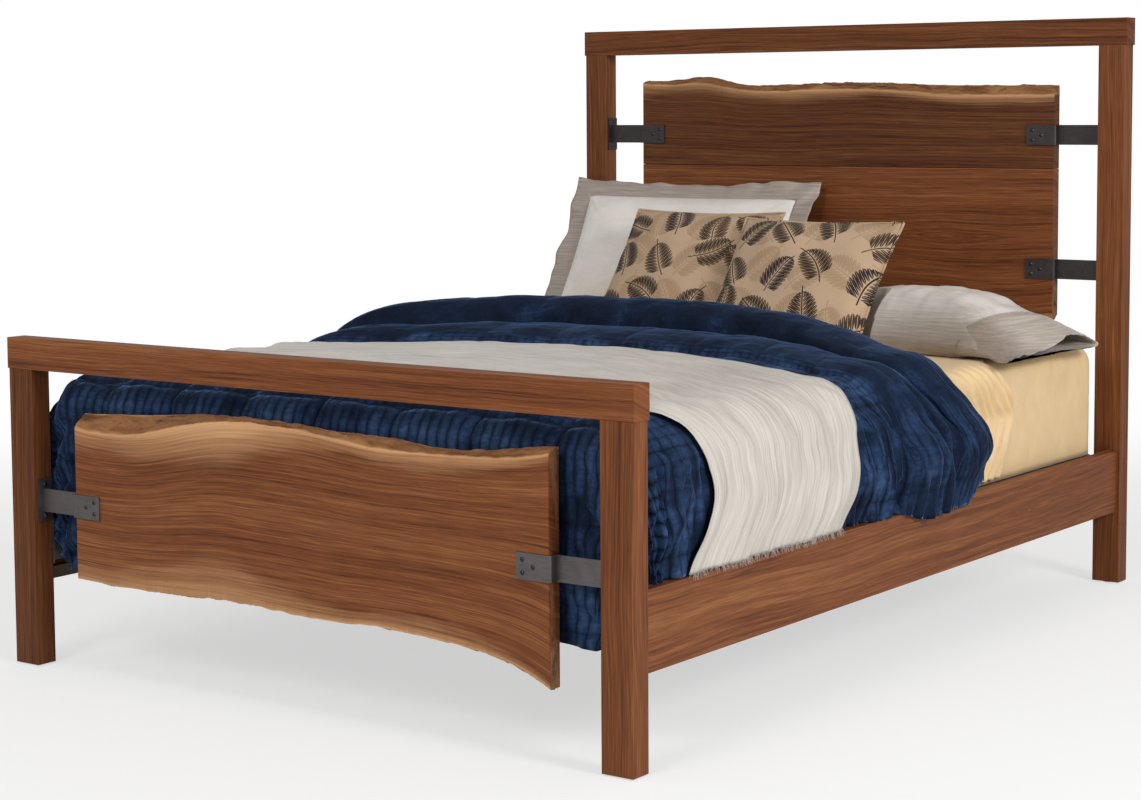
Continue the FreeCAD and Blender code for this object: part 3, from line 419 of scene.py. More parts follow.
def live_edge_walnut(name, seed, tone, sap_depth, arches=None, bark_share=0.5, flare=None):
    """Walnut whose grain follows the board's own edges, with sapwood and a bark line at the live edge."""
    n = Nodes(name)
    c = colours()
    x, y, z = n.split(n.object_place())
    rise, edge, wane = n.attribute("rise"), n.attribute("edge"), n.attribute("wane")
    figure = wood_figure(n, x, rise, y, seed, arches, 0.045)
    fine, fibre = figure[1:3]
    glow = 0.5 + 0.5 * tone
    sapwood = n.ramp(fine * 0.7 + fibre * 0.3, [(0.36, tinted(c.walnut_light, glow)),
                                                (0.5, tinted(c.sapwood, glow)),
                                                (0.64, tinted(c.sapwood, 1.3 * glow))])
    depth = n.ramp(n.noise(n.join(x * 2.1, seed, 0.0)), [(0.30, 0.15), (0.70, 1.0)]) * sap_depth
    if flare:
        along = x * 0.8 + 0.5
        hump = n.ramp(along, [(0.10, 0.20), (0.36, 0.66), (0.56, 0.12), (1.0, 0.0)], "EASE")
        hump = hump * n.ramp(z, [(0.36, 0.12), (0.46, 1.0)], "EASE")
        hump = hump * n.ramp(fine, [(0.36, 0.55), (0.60, 1.0)])
        sapwood = n.blend(hump, n.blend(0.18, sapwood, c.walnut), (0.880, 0.520, 0.265))
        depth = depth * n.ramp(along, flare, "EASE")
    inside = edge / n.math("MAXIMUM", depth + (fine - 0.5) * 0.040, 0.002)
    pale_share = n.ramp(inside * 0.7, [(0.08, 0.95), (0.40, 0.45), (1.0, 0.0)], "EASE")
    colour = n.blend(pale_share, heart_colour(n, figure, tone, 1.1), sapwood)
    band = n.ramp(inside, [(0.9, 0.0), (1.0, 0.18)], "EASE")
    beyond = n.ramp(inside * 0.5, [(0.5, 1.0), (0.9, 0.0)], "EASE")
    colour = n.blend(band * beyond, colour, tinted(c.walnut_dark, 1.1))
    patches = n.noise(n.join(x * 7.0, y * 45.0, z * 22.0), 5.0, 0.62, 0.5)
    side = n.noise(n.join(x * 1.7, seed + 2.0, 0.0), 1.0)
    cover = patches + (side - (1.0 - bark_share)) * 0.9
    golden = n.ramp(patches, [(0.35, (0.150, 0.055, 0.020)), (0.65, (0.420, 0.205, 0.085))])
    worn = n.blend(n.ramp(cover, [(0.44, 0.0), (0.60, 0.95)]), golden, c.bark)
    colour = n.blend(n.ramp(wane, [(0.25, 0.0), (0.6, 1.0)]), colour, worn)
    # Painted highlight: a thin pale line along the arris where the face meets the live edge, in patches.
    on_face = n.ramp(wane, [(0.05, 1.0), (0.40, 0.0)]) * n.ramp(side, [(0.35, 1.0), (0.60, 0.15)])
    arris = n.ramp(edge * 100.0, [(0.10, 0.9), (0.55, 0.0)]) * on_face
    colour = n.blend(arris, colour, tinted(c.sapwood, 1.5))
    return lacquered(n, colour, figure, patches * wane * 5.0)


def pale_wood(name, grain, seed, shade_darkening=1.0):
    """Poplar for the pieces under the mattress, plain or darkened as painted shade."""
    n = Nodes(name)
    x, y, z = n.split(n.object_place())
    along, up, through = {"X": (x, y, z), "Y": (y, x, z), "Z": (z, x, y)}[grain]
    fine, fibre, line = wood_figure(n, along, up, through, seed)[1:]
    tones = ((0.36, (0.36, 0.24, 0.13)), (0.5, (0.56, 0.41, 0.24)), (0.66, (0.70, 0.56, 0.36)))
    stops = [(place, tinted(tone, shade_darkening)) for place, tone in tones]
    colour = n.ramp(fine * 0.6 + fibre * 0.4 - line * 0.06, stops)
    return n.finish(colour, 0.6, fibre, 0.2, 0.0006)


def blackened_steel(name, colour, rough=0.42):
    """Steel plate with a faint mill grain and cloudy oxide."""
    n = Nodes(name)
    place = n.object_place()
    cloud = n.noise(place, 4.0, 0.6, scale=34.0)
    brushed = n.stretched(place, (40, 900, 900))
    shade = n.shades(cloud * 0.6 + brushed * 0.4, colour, (0.25, 0.72), (0.75, 1.35))
    return n.finish(shade, rough - 0.08 + cloud * 0.2, brushed, 0.08, 0.0003, metallic=0.82)


def moulded_nylon(name):
    n = Nodes(name)
    place = n.object_place()
    colour = n.ramp(n.noise(place, 3.0, scale=90.0), [(0.3, (0.60, 0.58, 0.52)), (0.7, (0.70, 0.68, 0.62))])
    return n.finish(colour, 0.55, n.noise(place, scale=900.0), 0.15, 0.0002)


def crushed_velvet(name):
    """Navy velvet, stitched in narrow channels within large squares."""
    n = Nodes(name)
    s, c = sizes(), colours()
    place = n.uv_place()
    u, v = n.split(place)[:2]
    shift = (n.stretched(place, (20, 20, 1)) - 0.5) * 0.008

    def channel(value, pitch, power):
        return abs(n.math("SINE", (value + shift) * (math.pi / pitch))) ** power

    long_channel = channel(u, s.quilt_channel, 0.36)
    cross_channel = channel(v, s.quilt_channel, 0.36)
    seam = channel(u, s.quilt_square, 0.12) * channel(v, s.quilt_square, 0.12)
    shown = n.attribute("quilted")
    turned = (cross_channel - long_channel) * n.attribute("down")
    main = long_channel + turned
    lesser = cross_channel - turned
    soft = (main * (lesser * 0.20 + 0.80) * seam - 0.6) * shown + 0.6
    pucker = n.stretched(place, (150, 60, 1), 3.0, 0.6, 0.4)
    creases = pucker + n.stretched(place, (60, 150, 1), 3.0, 0.6, 0.4)
    crush = n.stretched(place, (11, 8, 1), 3.0, 0.55, 0.5)
    nap = n.stretched(place, (1400, 1400, 1))
    # Tone from random crush, creases and channels: crease tops and channel crests painted lighter as painted
    # highlight, and darker where the quilting is faint.
    tone = (crush * 1.3 + -0.15) * 0.50 + creases * 0.20 + (soft - 0.68) * 0.34 + (shown - 0.55) * 0.11
    colour = n.ramp(tone, [(0.26, tinted(c.velvet, 0.40)), (0.45, c.velvet), (0.58, tinted(c.velvet, 2.5)),
                           (0.70, (0.046, 0.086, 0.172))])
    # Painted shade: the narrow seams between the channels darkened.
    colour = n.blend(n.ramp(soft, [(0.10, 0.85), (0.40, 0.0)]), colour, tinted(c.velvet, 0.15))
    height = soft + creases * (shown * 0.40 + 0.10) + nap * 0.05
    return n.finish(colour, 0.80, height, 0.62, 0.0030, sheen_weight=0.62, sheen_roughness=0.24,
                    sheen_tint=(0.20, 0.38, 0.80, 1), specular_ior_level=0.10)


def slub_silk(name, colour):
    """Silk with thick and thin threads that run along the cloth's first direction."""
    n = Nodes(name)
    place = n.uv_place()
    threads = n.stretched(place, (22, 900, 1), 3.0, 0.6)
    slubs = n.stretched(place, (7.7, 270, 1), 3.0, 0.55)
    cross = n.stretched(place, (1500, 120, 1))
    cloud = n.stretched(place, (5, 8, 1), 3.0)
    bands = n.stretched(place, (2.5, 95, 1), 3.0, 0.6)
    tone = threads * 0.25 + slubs * 0.30 + (cross * 0.08 + bands * 0.37) + (cloud - 0.5) * 0.2
    shade = n.shades(tone, colour, (0.39, 0.66), (0.50, 1.03), (0.62, 1.28))
    height = slubs * 0.7 + threads * 0.5 + cross * 0.15
    return n.finish(shade, 0.36 + slubs * 0.14, height, 0.45, 0.0014, sheen_weight=0.25, sheen_roughness=0.4)


def woven_satin(name, colour, place_of, sheen=0.2, rough=0.45, weave=1300.0, trim_shade=None, front=None,
                crumple=1.0):
    """Fine satin weave with soft clouds of tone that follow its small creases as painted shade, and painted
    shade on a flange or hem and a darker front.
    """
    n = Nodes(name)
    place = n.uv_place() if place_of == "uv" else n.object_place()
    fine = weave * 0.05
    threads = n.stretched(place, (weave, fine, weave)) + n.stretched(place, (fine, weave, fine))
    crease = n.stretched(place, (9, 14, 18), 4.0, 0.6, 0.8)
    # The crease noise also sets the tone, lighter on crests and darker in hollows: painted shade.
    shade = n.shades(crease * 0.6 + threads * 0.2, colour, (0.3, 0.86), (0.5, 1.0), (0.7, 1.1))
    # Painted shade: the flange or hem takes a darker, browner tint of the same satin.
    if trim_shade:
        streak = n.stretched(place, (9, 9, 420), 3.0, 0.6)
        shade = n.blend(n.attribute("trim_shade"), shade, n.shades(streak, trim_shade, (0.35, 0.78), (0.65, 1.22)))
    # Painted shade: the pillow's front falls to a darker brown.
    if front:
        start, dark = front
        slub = n.stretched(place, (8, 30, 300), 3.0, 0.6)
        front_shade_share = n.ramp(n.split(place)[1] - start + slub * 0.06, [(0.02, 0.88), (0.24, 0.0)], "EASE")
        shade = n.blend(front_shade_share, shade, n.shades(slub, dark, (0.3, 0.75), (0.7, 1.35)))
    height = crease * (1.6 * crumple) + threads * 0.12
    return n.finish(shade, rough, height, 0.25, 0.0024, sheen_weight=sheen, sheen_roughness=0.4)


def sprig_layer(n, x, y, seed, scale, half_length, leaf_thickness):
    """One scatter of leaf sprigs: where it is inked, and three dice for each sprig."""
    plane = n.join(x + seed, y, 0.0)
    cell = n.add("ShaderNodeTexVoronoi", {"Vector": plane, "Scale": scale, "Randomness": 0.45}, "Position",
                 voronoi_dimensions="2D", feature="F1")
    dice = n.split(cell.socket.node.outputs["Color"])
    offset = n.add("ShaderNodeVectorMath", {0: plane, 1: cell}, operation="SUBTRACT")
    turned = n.add("ShaderNodeVectorRotate", {"Vector": offset, "Angle": (dice[0] - 0.5) * 2.4},
                   rotation_type="Z_AXIS")
    across, along = n.split(turned)[:2]
    wide = abs(across + along * along * ((dice[1] - 0.5) * 8.0))
    stem = n.math("LESS_THAN", wide, 0.0016) * n.math("LESS_THAN", abs(along), half_length)
    pitch = leaf_thickness * 1.95
    within = n.math("FRACT", (along - wide * 0.8 + 1.0) / pitch) - 0.5
    thick = within * pitch / leaf_thickness
    share = (along + half_length * 0.12) / (half_length * 0.88)
    reach = n.math("SQRT", n.math("MAXIMUM", 1.0 - share * share, 0.0)) * (half_length * 0.62)
    reach = reach * n.math("GREATER_THAN", share, -0.62)
    from_centre = (wide - reach * 0.54) / n.math("MAXIMUM", reach * 0.46, 0.0004)
    inside = from_centre * from_centre + thick * thick
    leaf = n.math("LESS_THAN", inside, 1.0) * n.math("GREATER_THAN", reach, 0.004)
    leaf = leaf * n.math("GREATER_THAN", abs(thick), 0.09)
    return n.math("MAXIMUM", stem, leaf), dice


def sprig_print(name, middle, lean, seed):
    """Tan cotton printed with two layers of leaf sprigs, one in each cell of a loose scatter."""
    n = Nodes(name)
    moved = n.mapped(n.object_place(), move=tuple(-m for m in middle))
    flat = n.mapped(moved, turn=(-lean, 0, 0))
    x, y = n.split(flat)[:2]
    behind = sprig_layer(n, x, y, seed + 4.3, 7.4, 0.074, 0.0066)[0]
    front, dice = sprig_layer(n, x, y, seed, 8.2, 0.068, 0.0062)
    ink = n.ramp(dice[2], [(0.0, (0.022, 0.012, 0.007)), (0.40, (0.008, 0.005, 0.012)),
                           (0.70, (0.040, 0.024, 0.014))], "CONSTANT")
    threads = n.stretched(flat, (1500, 60, 1)) + n.stretched(flat, (60, 1500, 1))
    tone = n.noise(flat, 3.0, scale=7.0) * 0.5 + threads * 0.25
    ground = n.shades(tone, colours().print_ground, (0.3, 0.86), (0.7, 1.12))
    colour = n.blend(behind * 0.85, ground, (0.390, 0.255, 0.150))
    colour = n.blend(front * 0.95, colour, ink)
    height = threads + n.noise(flat, 4.0, 0.6, 0.5, scale=14.0) * 3.0
    return n.finish(colour, 0.78, height, 0.25, 0.0016, sheen_weight=0.05, specular_ior_level=0.2)


# Draping: flat cloth laid over a rounded block, with its drops at the sides and ends
class Block:
    """A rounded block that cloth lies over; lengths in metres."""

    def __init__(self, half_width, foot, head, top, side_radius, end_radius, crown=0.0):
        self.half = half_width - side_radius
        self.foot = foot + end_radius
        self.head = head - end_radius
        self.top = top
        self.side_radius = side_radius
        self.end_radius = end_radius
        self.crown = crown

    def lay(self, a, b, side_drop, foot_drop, head_drop, bulge=0.0):
        """Points and outward normals for flat cloth places a across and b along the bed."""
        past_side = np.maximum(np.abs(a) - self.half, 0)
        past_end = np.maximum(self.foot - b, 0) + np.maximum(b - self.head, 0)
        end_drop = np.where(b < self.foot, foot_drop, head_drop)
        fa, fb = past_side / side_drop, past_end / end_drop
        share = np.maximum(fa, fb)
        angle = np.arctan2(fb, fa)
        c, s = np.cos(angle), np.sin(angle)
        flat = share == 0
        drop = share * (side_drop * c ** 2 + end_drop * s ** 4 + side_drop * s ** 2 * (1 - s ** 2))
        radius = self.side_radius * c ** 2 + self.end_radius * s ** 2
        turn = np.minimum(drop / radius, math.pi / 2)
        below = np.maximum(drop - radius * math.pi / 2, 0)
        reach = radius * np.sin(turn)
        hang = np.maximum(side_drop * c ** 2 + end_drop * s ** 2 - radius * math.pi / 2, 1e-6)
        reach = reach + bulge * np.sin(np.clip(below / hang, 0, 1) * math.pi) * c ** 2
        way_x = np.sign(a) * c
        way_y = np.where(b < self.foot, -1.0, 1.0) * s
        x = np.clip(a, -self.half, self.half) + way_x * reach
        y = np.clip(b, self.foot, self.head) + way_y * reach
        height = self.crown * (1 - np.clip(np.abs(a) / self.half, 0, 1) ** 2)
        z = self.top + height - radius * (1 - np.cos(turn)) - below
        level = np.where(flat, 1.0, np.cos(turn))
        out = np.where(flat, 0.0, np.sin(turn))
        normal = np.stack([way_x * out, way_y * out, level], axis=-1)
        return np.stack([x, y, z], axis=-1), normal / np.linalg.norm(normal, axis=-1, keepdims=True)


def flat_grid(low_a, high_a, low_b, high_b, step):
    """Flat cloth places: rows across, columns along."""
    a = np.linspace(low_a, high_a, max(3, int(round((high_a - low_a) / step)) + 1))
    b = np.linspace(low_b, high_b, max(3, int(round((high_b - low_b) / step)) + 1))
    return np.meshgrid(a, b, indexing="ij")


QUILT_TOP = MATTRESS_TOP + 0.0175
QUILT_SIDE = 0.790
QUILT_SIDE_RADIUS = 0.095
QUILT_END_RADIUS = 0.070
QUILT_INSET = 0.012
QUILT_SIDE_DROP = QUILT_SIDE_RADIUS * math.pi / 2 + QUILT_TOP - QUILT_SIDE_RADIUS - RAIL_TOP - 0.002
QUILT_FOOT_DROP = QUILT_END_RADIUS * math.pi / 2 + QUILT_TOP - QUILT_END_RADIUS - FOOT_HEM
QUILT_CROWN = 0.010
QUILT_BULGE = 0.014
QUILT_BLOCK_HEAD = 2.0
NO_DROP = 1.0
ROLL_START = 0.03
ROLL_END = 0.75
RAIL_CLEAR = 0.8065
POST_CLEAR = 0.771


def quilt_block():
    return Block(QUILT_SIDE, FOOT_FACE + 0.005, QUILT_BLOCK_HEAD, QUILT_TOP,
                 QUILT_SIDE_RADIUS, QUILT_END_RADIUS, QUILT_CROWN)


def drop_share(block, a, drop):
    """0 on the top, 1 at the side hem."""
    return np.clip((np.abs(a) - block.half) / drop, 0, 1)


# Lines across the quilt, as places along the bed at distances from the bed's middle
ACROSS = (0.0, 0.28, 0.40, 0.50, 0.60, 0.70, 0.785, 0.836, 0.884, 0.92, 0.977, 1.017, 1.036)
ROLL_HEAD_LINE = (0.43, 0.425, 0.383, 0.322, 0.252, 0.192, 0.172, 0.236, 0.296, 0.315, 0.319, 0.306, 0.284)
VALLEY_LINE = (0.262, 0.235, 0.188, 0.126, 0.064, 0.012, 0.022, 0.092, 0.150, 0.178, 0.192, 0.168, 0.138)
ROLL_START_LINE = (0.03, 0.03, 0.00, -0.045, -0.10, -0.150, -0.165, -0.125, -0.098, -0.090, -0.090, -0.094,
                   -0.094)
ROLL_HEIGHT_SHARES = (1.0, 0.84, 0.70, 0.57, 0.43, 0.35, 0.35, 0.39, 0.40, 0.39, 0.36, 0.30, 0.25)
FAR_HEAD_LINE = (0.43, 0.43, 0.420, 0.400, 0.350, 0.250, 0.060, 0.130, 0.270, 0.320, 0.340, 0.320, 0.290)
FAR_VALLEY_LINE = (0.262, 0.250, 0.235, 0.200, 0.130, 0.010, -0.120, -0.030, 0.090, 0.160, 0.190, 0.180,
                   0.150)
FAR_START_LINE = (0.03, 0.03, 0.02, -0.010, -0.08, -0.170, -0.265, -0.200, -0.140, -0.110, -0.095, -0.094,
                  -0.094)
FAR_HEIGHT_SHARES = (1.0, 1.0, 1.0, 0.99, 0.97, 0.93, 0.78, 0.52, 0.38, 0.33, 0.29, 0.25, 0.22)
THROW_HEAD_LINE = (0.005, -0.042, -0.082, -0.128, -0.188, -0.252, -0.268, -0.270, -0.276, -0.280, -0.298,
                   -0.325, -0.340)
THROW_FOOT_LINE = (-0.580, -0.615, -0.655, -0.710, -0.795, -0.890, -0.850, -0.828, -0.822, -0.832, -0.872,
                   -0.896, -0.905)


def line_at(a, line):
    """A line's place at a distance from the bed's middle, with its corners eased."""
    fine = np.linspace(0, ACROSS[-1], 260)
    values = np.interp(fine, ACROSS, line)
    kernel = np.hanning(35)
    values = np.convolve(np.pad(values, 17, mode="edge"), kernel / kernel.sum(), mode="valid")
    return np.interp(np.abs(a), fine, values)


def both_sides(a, near, far):
    return np.where(a > 0, line_at(a, near), line_at(a, far))


def roll_marks(a):
    """Places along the bed of the rolls' start, the valley between them and the head edge."""
    return (both_sides(a, ROLL_START_LINE, FAR_START_LINE), both_sides(a, VALLEY_LINE, FAR_VALLEY_LINE),
            both_sides(a, ROLL_HEAD_LINE, FAR_HEAD_LINE))


def rolled(a, b, hang):
    """Place along the bed and height above the quilt for the folded head end."""
    start, valley, head = roll_marks(a)
    first = ROLL_START + (ROLL_END - ROLL_START) * 0.46
    t1 = np.clip((b - ROLL_START) / (first - ROLL_START), 0, 1)
    t2 = np.clip((b - first) / (ROLL_END - first), 0, 1)
    lead = np.minimum(b, ROLL_START) + (start - ROLL_START) * smooth(-0.42, ROLL_START, b)
    y1 = start + (valley - start) * (0.35 * t1 + 0.65 * (0.5 - 0.5 * np.cos(math.pi * t1)))
    y2 = valley + (head - valley) * (0.5 - 0.5 * np.cos(math.pi * t2))
    y = np.where(b < ROLL_START, lead, np.where(b < first, y1, y2))
    tall = both_sides(a, ROLL_HEIGHT_SHARES, FAR_HEIGHT_SHARES)
    low_roll = 0.037 * np.sin(math.pi * t1 ** 1.15) ** 0.62 * mix(tall ** 0.3, 0.72, smooth(0.2, 0.9, hang))
    high_roll = sizes().roll_height * np.sin(math.pi * t2) ** 0.60 * tall
    dip = -0.009 * np.exp(-((b - first) / 0.018) ** 2)
    return y, np.where(b < first, low_roll, high_roll) + dip


def under_throw(a, y):
    """1 where the throw lies on the quilt."""
    head, foot = line_at(a, THROW_HEAD_LINE), line_at(a, THROW_FOOT_LINE)
    return smooth(foot - 0.024, foot + 0.010, y) * (1 - smooth(head - 0.008, head + 0.026, y))


def seamed(value, pitch, power):
    """0 at evenly spaced seams, 1 halfway between them."""
    return np.abs(np.sin(math.pi * value / pitch)) ** power


def quilt_surface(a, b):
    """Outer points, base points and normals of the quilt, with its drop share and its channels."""
    s = sizes()
    block = quilt_block()
    hang = drop_share(block, a, QUILT_SIDE_DROP)
    y, roll = rolled(a, b, hang)
    place, normal = block.lay(a, y, QUILT_SIDE_DROP, QUILT_FOOT_DROP, NO_DROP, QUILT_BULGE)
    spot = stacked(a, b)
    covered = under_throw(a, y)
    side = smooth(0.12, 0.55, hang)
    past_foot = (block.foot - b) / QUILT_FOOT_DROP
    foot_face = smooth(0.0, 0.12, past_foot)
    on_roll = smooth(ROLL_START, ROLL_START + 0.08, b)
    quilted = (1 - 0.85 * on_roll * (1 - 0.55 * side)) * (1 - 0.6 * covered)
    bulk = seamed(a, s.quilt_square, 0.45)
    square = bulk * seamed(b, s.quilt_square, 0.45)
    flutes = seamed(b + 0.006 * ripple(spot, 0.11, 14), s.quilt_channel * 1.6, 0.7)
    crest = np.exp(-((b - block.foot + 0.02) / 0.055) ** 2)
    puff = s.quilt_loft * (mix(square, bulk, 0.7 * on_roll) - 0.5) * (1 - 0.45 * on_roll)
    puff = puff * (1 + 0.9 * foot_face + 2.4 * crest)
    puff = puff + 0.0135 * side * (1 - 0.80 * smooth(0.36, 0.46, b)) * (flutes - 0.5)
    puff = puff + (0.0035 * ripple(spot, 0.16, 11) + 0.0016 * ripple(spot, 0.05, 12)) * (1 - 0.6 * on_roll)
    flap = np.clip((roll_marks(a)[0] - y) / 0.156, 0, 1)
    lobe = 0.014 * np.sin(math.pi * flap) * smooth(0.10, 0.5, hang)
    folds = 0.014 * ripple(stacked(b, hang * 0.10), 0.085, 21) * side * (1 - 0.75 * smooth(0.38, 0.46, b))
    low = np.clip((block.foot + 0.16 - y) / 0.2, 0, 1)
    turn = smooth(0.1, 0.5, past_foot) * smooth(block.half - 0.10, block.half, np.abs(a))
    corner = np.clip(low * smooth(0.25, 0.9, hang) + turn, 0, 1)
    slant = (np.abs(a) * 0.8 + b * 1.1) * 2 * math.pi / 0.105
    bunch = 0.011 * np.sin(slant + 1.2 * ripple(spot, 0.2, 31)) * corner
    rise = (puff + folds + bunch) * (1 - 0.65 * covered)
    rise = np.minimum(rise, mix(0.05, 0.0055, covered)) + roll + lobe
    down = mix(0.55, 1.0, side) * (1 - foot_face)
    place[..., 1] += 0.004 * ripple(spot, 0.25, 41) * on_roll * (1 - smooth(0.70, ROLL_END, b))
    return place + normal * rise[..., None], place, normal, hang, quilted, down


def make_quilt():
    block = quilt_block()
    reach = block.half + QUILT_SIDE_DROP
    a, b = flat_grid(-reach, reach, block.foot - QUILT_FOOT_DROP, ROLL_END, sizes().cloth_step)
    outer, base, normal, hang, quilted, down = quilt_surface(a, b)
    inner = base - normal * QUILT_INSET
    side_hem = smooth(0.9, 1.0, hang) * smooth(block.foot - 0.02, block.foot + 0.08, b)
    over_rail = side_hem * smooth(-0.10, 0.0, outer[..., 1])
    outer[..., 2] -= over_rail * 0.022
    beside_rail = np.sign(a) * np.maximum(np.abs(outer[..., 0]), RAIL_CLEAR + 0.008 * over_rail)
    outer[..., 0] = np.where(over_rail > 0.02, beside_rail, outer[..., 0])
    head = roll_marks(a)[2]
    near_head = smooth(head - 0.09, head, outer[..., 1]) * smooth(0.60, 1.0, hang)
    outer[..., 2] += near_head * 0.045
    inner[..., 2] += near_head * 0.038 + side_hem * 0.008
    inner_side = (np.abs(inner[..., 0]) > HALF_SHEET) & (inner[..., 1] > block.foot)
    inner[..., 2] = np.where(inner_side, np.maximum(inner[..., 2], RAIL_TOP + 0.0015), inner[..., 2])
    tight = (outer[..., 2] < RAIL_TOP) & (outer[..., 1] < block.foot)
    outer[..., 0] = np.where(tight, np.clip(outer[..., 0], -POST_CLEAR, POST_CLEAR), outer[..., 0])
    outer[..., 1] = np.maximum(outer[..., 1], FOOT_FACE - 0.004)
    piece = shell("quilt_velvet", outer, inner, stacked(a, b), crushed_velvet("navy_velvet"),
                  quilted=quilted, down=down)
    finish_piece(piece, "navy_velvet", "quilt")


# Throw
THROW_REST = 0.0095
THROW_THICKNESS = 0.0016


def underside(outer, normal, thickness):
    """Inner points of a cloth, straight behind its outer ones."""
    across = grid_normals(outer)
    if np.sum(across * normal) < 0:
        across = -across
    return outer - across * thickness


def make_throw():
    s = sizes()
    block = quilt_block()
    reach = block.half + QUILT_SIDE_DROP
    a, w = flat_grid(-reach, reach, 0.0, s.throw_width, s.cloth_step * 0.8)
    y = mix(line_at(a, THROW_FOOT_LINE), line_at(a, THROW_HEAD_LINE), w / s.throw_width)
    hang = drop_share(block, a, QUILT_SIDE_DROP)
    place, normal = block.lay(a, y, QUILT_SIDE_DROP, QUILT_FOOT_DROP, NO_DROP, QUILT_BULGE)
    spot = stacked(a, w)
    lie = THROW_REST + 0.0022 * (1 + ripple(spot, 0.13, 51))
    drawn = 0.5 * s.throw_width * (1 + 0.12 * smooth(0.1, 0.5, hang))
    fan = (w - drawn) * (1 - 0.25 * smooth(0.0, 0.3, hang))
    fold = np.clip(ripple(stacked(fan, hang * 0.07), 0.095, 52), -1.0, 1.4)
    shoulder = smooth(block.half - 0.16, block.half + 0.02, np.abs(a))
    edge = np.minimum(w, s.throw_width - w)
    loose = mix(0.45, 1.0, smooth(0.0, 0.06, edge)) * mix(1.0, 0.62, smooth(0.3, 0.9, hang))
    lie = lie + 0.0056 * (1 + fold) * shoulder * loose
    lie = lie - 0.0035 * (1 - smooth(0.0, 0.03, edge)) * (1 - shoulder)
    outer = place + normal * lie[..., None]
    outer[..., 1] += 0.004 * ripple(spot, 0.13, 53)
    outer[..., 2] = np.maximum(outer[..., 2], RAIL_TOP + 0.003)
    inner = underside(outer, normal, THROW_THICKNESS)
    piece = shell("throw_silk", outer, inner, spot, slub_silk("silver_silk", colours().silk))
    fringe = make_fringe(outer, slub_silk("fringe_silk", tinted(colours().silk, 0.72)))
    finish_piece(piece, "silver_silk", "throw")
    finish_piece(fringe, "silver_silk")
    flat = (s.throw_width, 2 * reach)


def make_fringe(outer, material):
    """Frayed threads along both hems, scattered on the hem lines by a node tree."""
    points, edges = [], []
    for hem in (outer[0], outer[-1]):
        edges += [(len(points) + i, len(points) + i + 1) for i in range(len(hem) - 1)]
        lift = stacked(np.sign(hem[:, 0]), np.zeros(len(hem)), np.ones(len(hem))) * 0.004
        points += [tuple(p) for p in hem + lift]
    mesh = bpy.data.meshes.new("hem_lines")
    mesh.from_pydata(points, edges, [])
    carrier = linked("hem_lines", mesh)
    tree, source, sink = node_tree("hem_fringe", [("Spacing", 0.0016), ("Length", 0.015),
                                                  ("Thickness", 0.0006)])
    curve = tree.nodes.new("GeometryNodeMeshToCurve")
    resample = tree.nodes.new("GeometryNodeResampleCurve")
    resample.mode = "LENGTH"
    thread = tree.nodes.new("GeometryNodeMeshCone")
    thread.inputs["Vertices"].default_value = 3
    thread.inputs["Radius Top"].default_value = 0.00012
    place = tree.nodes.new("GeometryNodeInstanceOnPoints")
    turn = tree.nodes.new("FunctionNodeRandomValue")
    turn.data_type = "FLOAT_VECTOR"
    turn.inputs["Min"].default_value = (math.pi - 0.7, -0.7, 0.0)
    turn.inputs["Max"].default_value = (math.pi + 0.7, 0.7, 6.2)
    turn.inputs["Seed"].default_value = 7
    links = tree.links
    links.new(source.outputs["Geometry"], curve.inputs[0])
    links.new(curve.outputs[0], resample.inputs["Curve"])
    links.new(source.outputs["Spacing"], resample.inputs["Length"])
    links.new(source.outputs["Thickness"], thread.inputs["Radius Bottom"])
    links.new(source.outputs["Length"], thread.inputs["Depth"])
    links.new(resample.outputs[0], place.inputs["Points"])
    links.new(thread.outputs["Mesh"], place.inputs["Instance"])
    links.new(turn.outputs[0], place.inputs["Rotation"])
    return grown(carrier, tree, place.outputs[0], sink, material, "throw_fringe")


def node_tree(name, values):
    """A geometry node tree with one geometry socket and named lengths."""
    tree = bpy.data.node_groups.new(name, "GeometryNodeTree")
    tree.interface.new_socket("Geometry", in_out="INPUT", socket_type="NodeSocketGeometry")
    for label, value in values:
        socket = tree.interface.new_socket(label, in_out="INPUT", socket_type="NodeSocketFloat")
        socket.default_value = value
    tree.interface.new_socket("Geometry", in_out="OUTPUT", socket_type="NodeSocketGeometry")
    return tree, tree.nodes.new("NodeGroupInput"), tree.nodes.new("NodeGroupOutput")


def grown(carrier, tree, result, sink, material, name):
    """The node tree's result as a plain mesh piece."""
    real = tree.nodes.new("GeometryNodeRealizeInstances")
    paint = tree.nodes.new("GeometryNodeSetMaterial")
    paint.inputs["Material"].default_value = material
    tree.links.new(result, real.inputs[0])
    tree.links.new(real.outputs[0], paint.inputs["Geometry"])
    tree.links.new(paint.outputs[0], sink.inputs[0])
    modifier = carrier.modifiers.new("grow", "NODES")
    modifier.node_group = tree
    for item in tree.interface.items_tree:
        if item.item_type == "SOCKET" and item.in_out == "INPUT" and item.socket_type == "NodeSocketFloat":
            modifier[item.identifier] = item.default_value
    bpy.context.view_layer.update()
    graph = bpy.context.evaluated_depsgraph_get()
    mesh = bpy.data.meshes.new_from_object(carrier.evaluated_get(graph), depsgraph=graph)
    mesh.name = name
    bpy.data.objects.remove(carrier)
    return linked(name, mesh)


# Sheets, mattress and foundation
SHEET_RADIUS = 0.048
CORD_SIDES = 8
TAIL_ACROSS = (0.0, 0.62, 0.716, 0.734, 0.806, 0.868, 0.909, 0.964, 1.009)
TAIL_LINE = (0.56, 0.555, 0.49, 0.447, 0.501, 0.543, 0.530, 0.504, 0.457)


def sheet_block(growth):
    return Block(HALF_SHEET + growth, -HALF_SHEET_LENGTH - growth, HALF_SHEET_LENGTH + growth,
                 MATTRESS_TOP + growth, SHEET_RADIUS, SHEET_RADIUS)


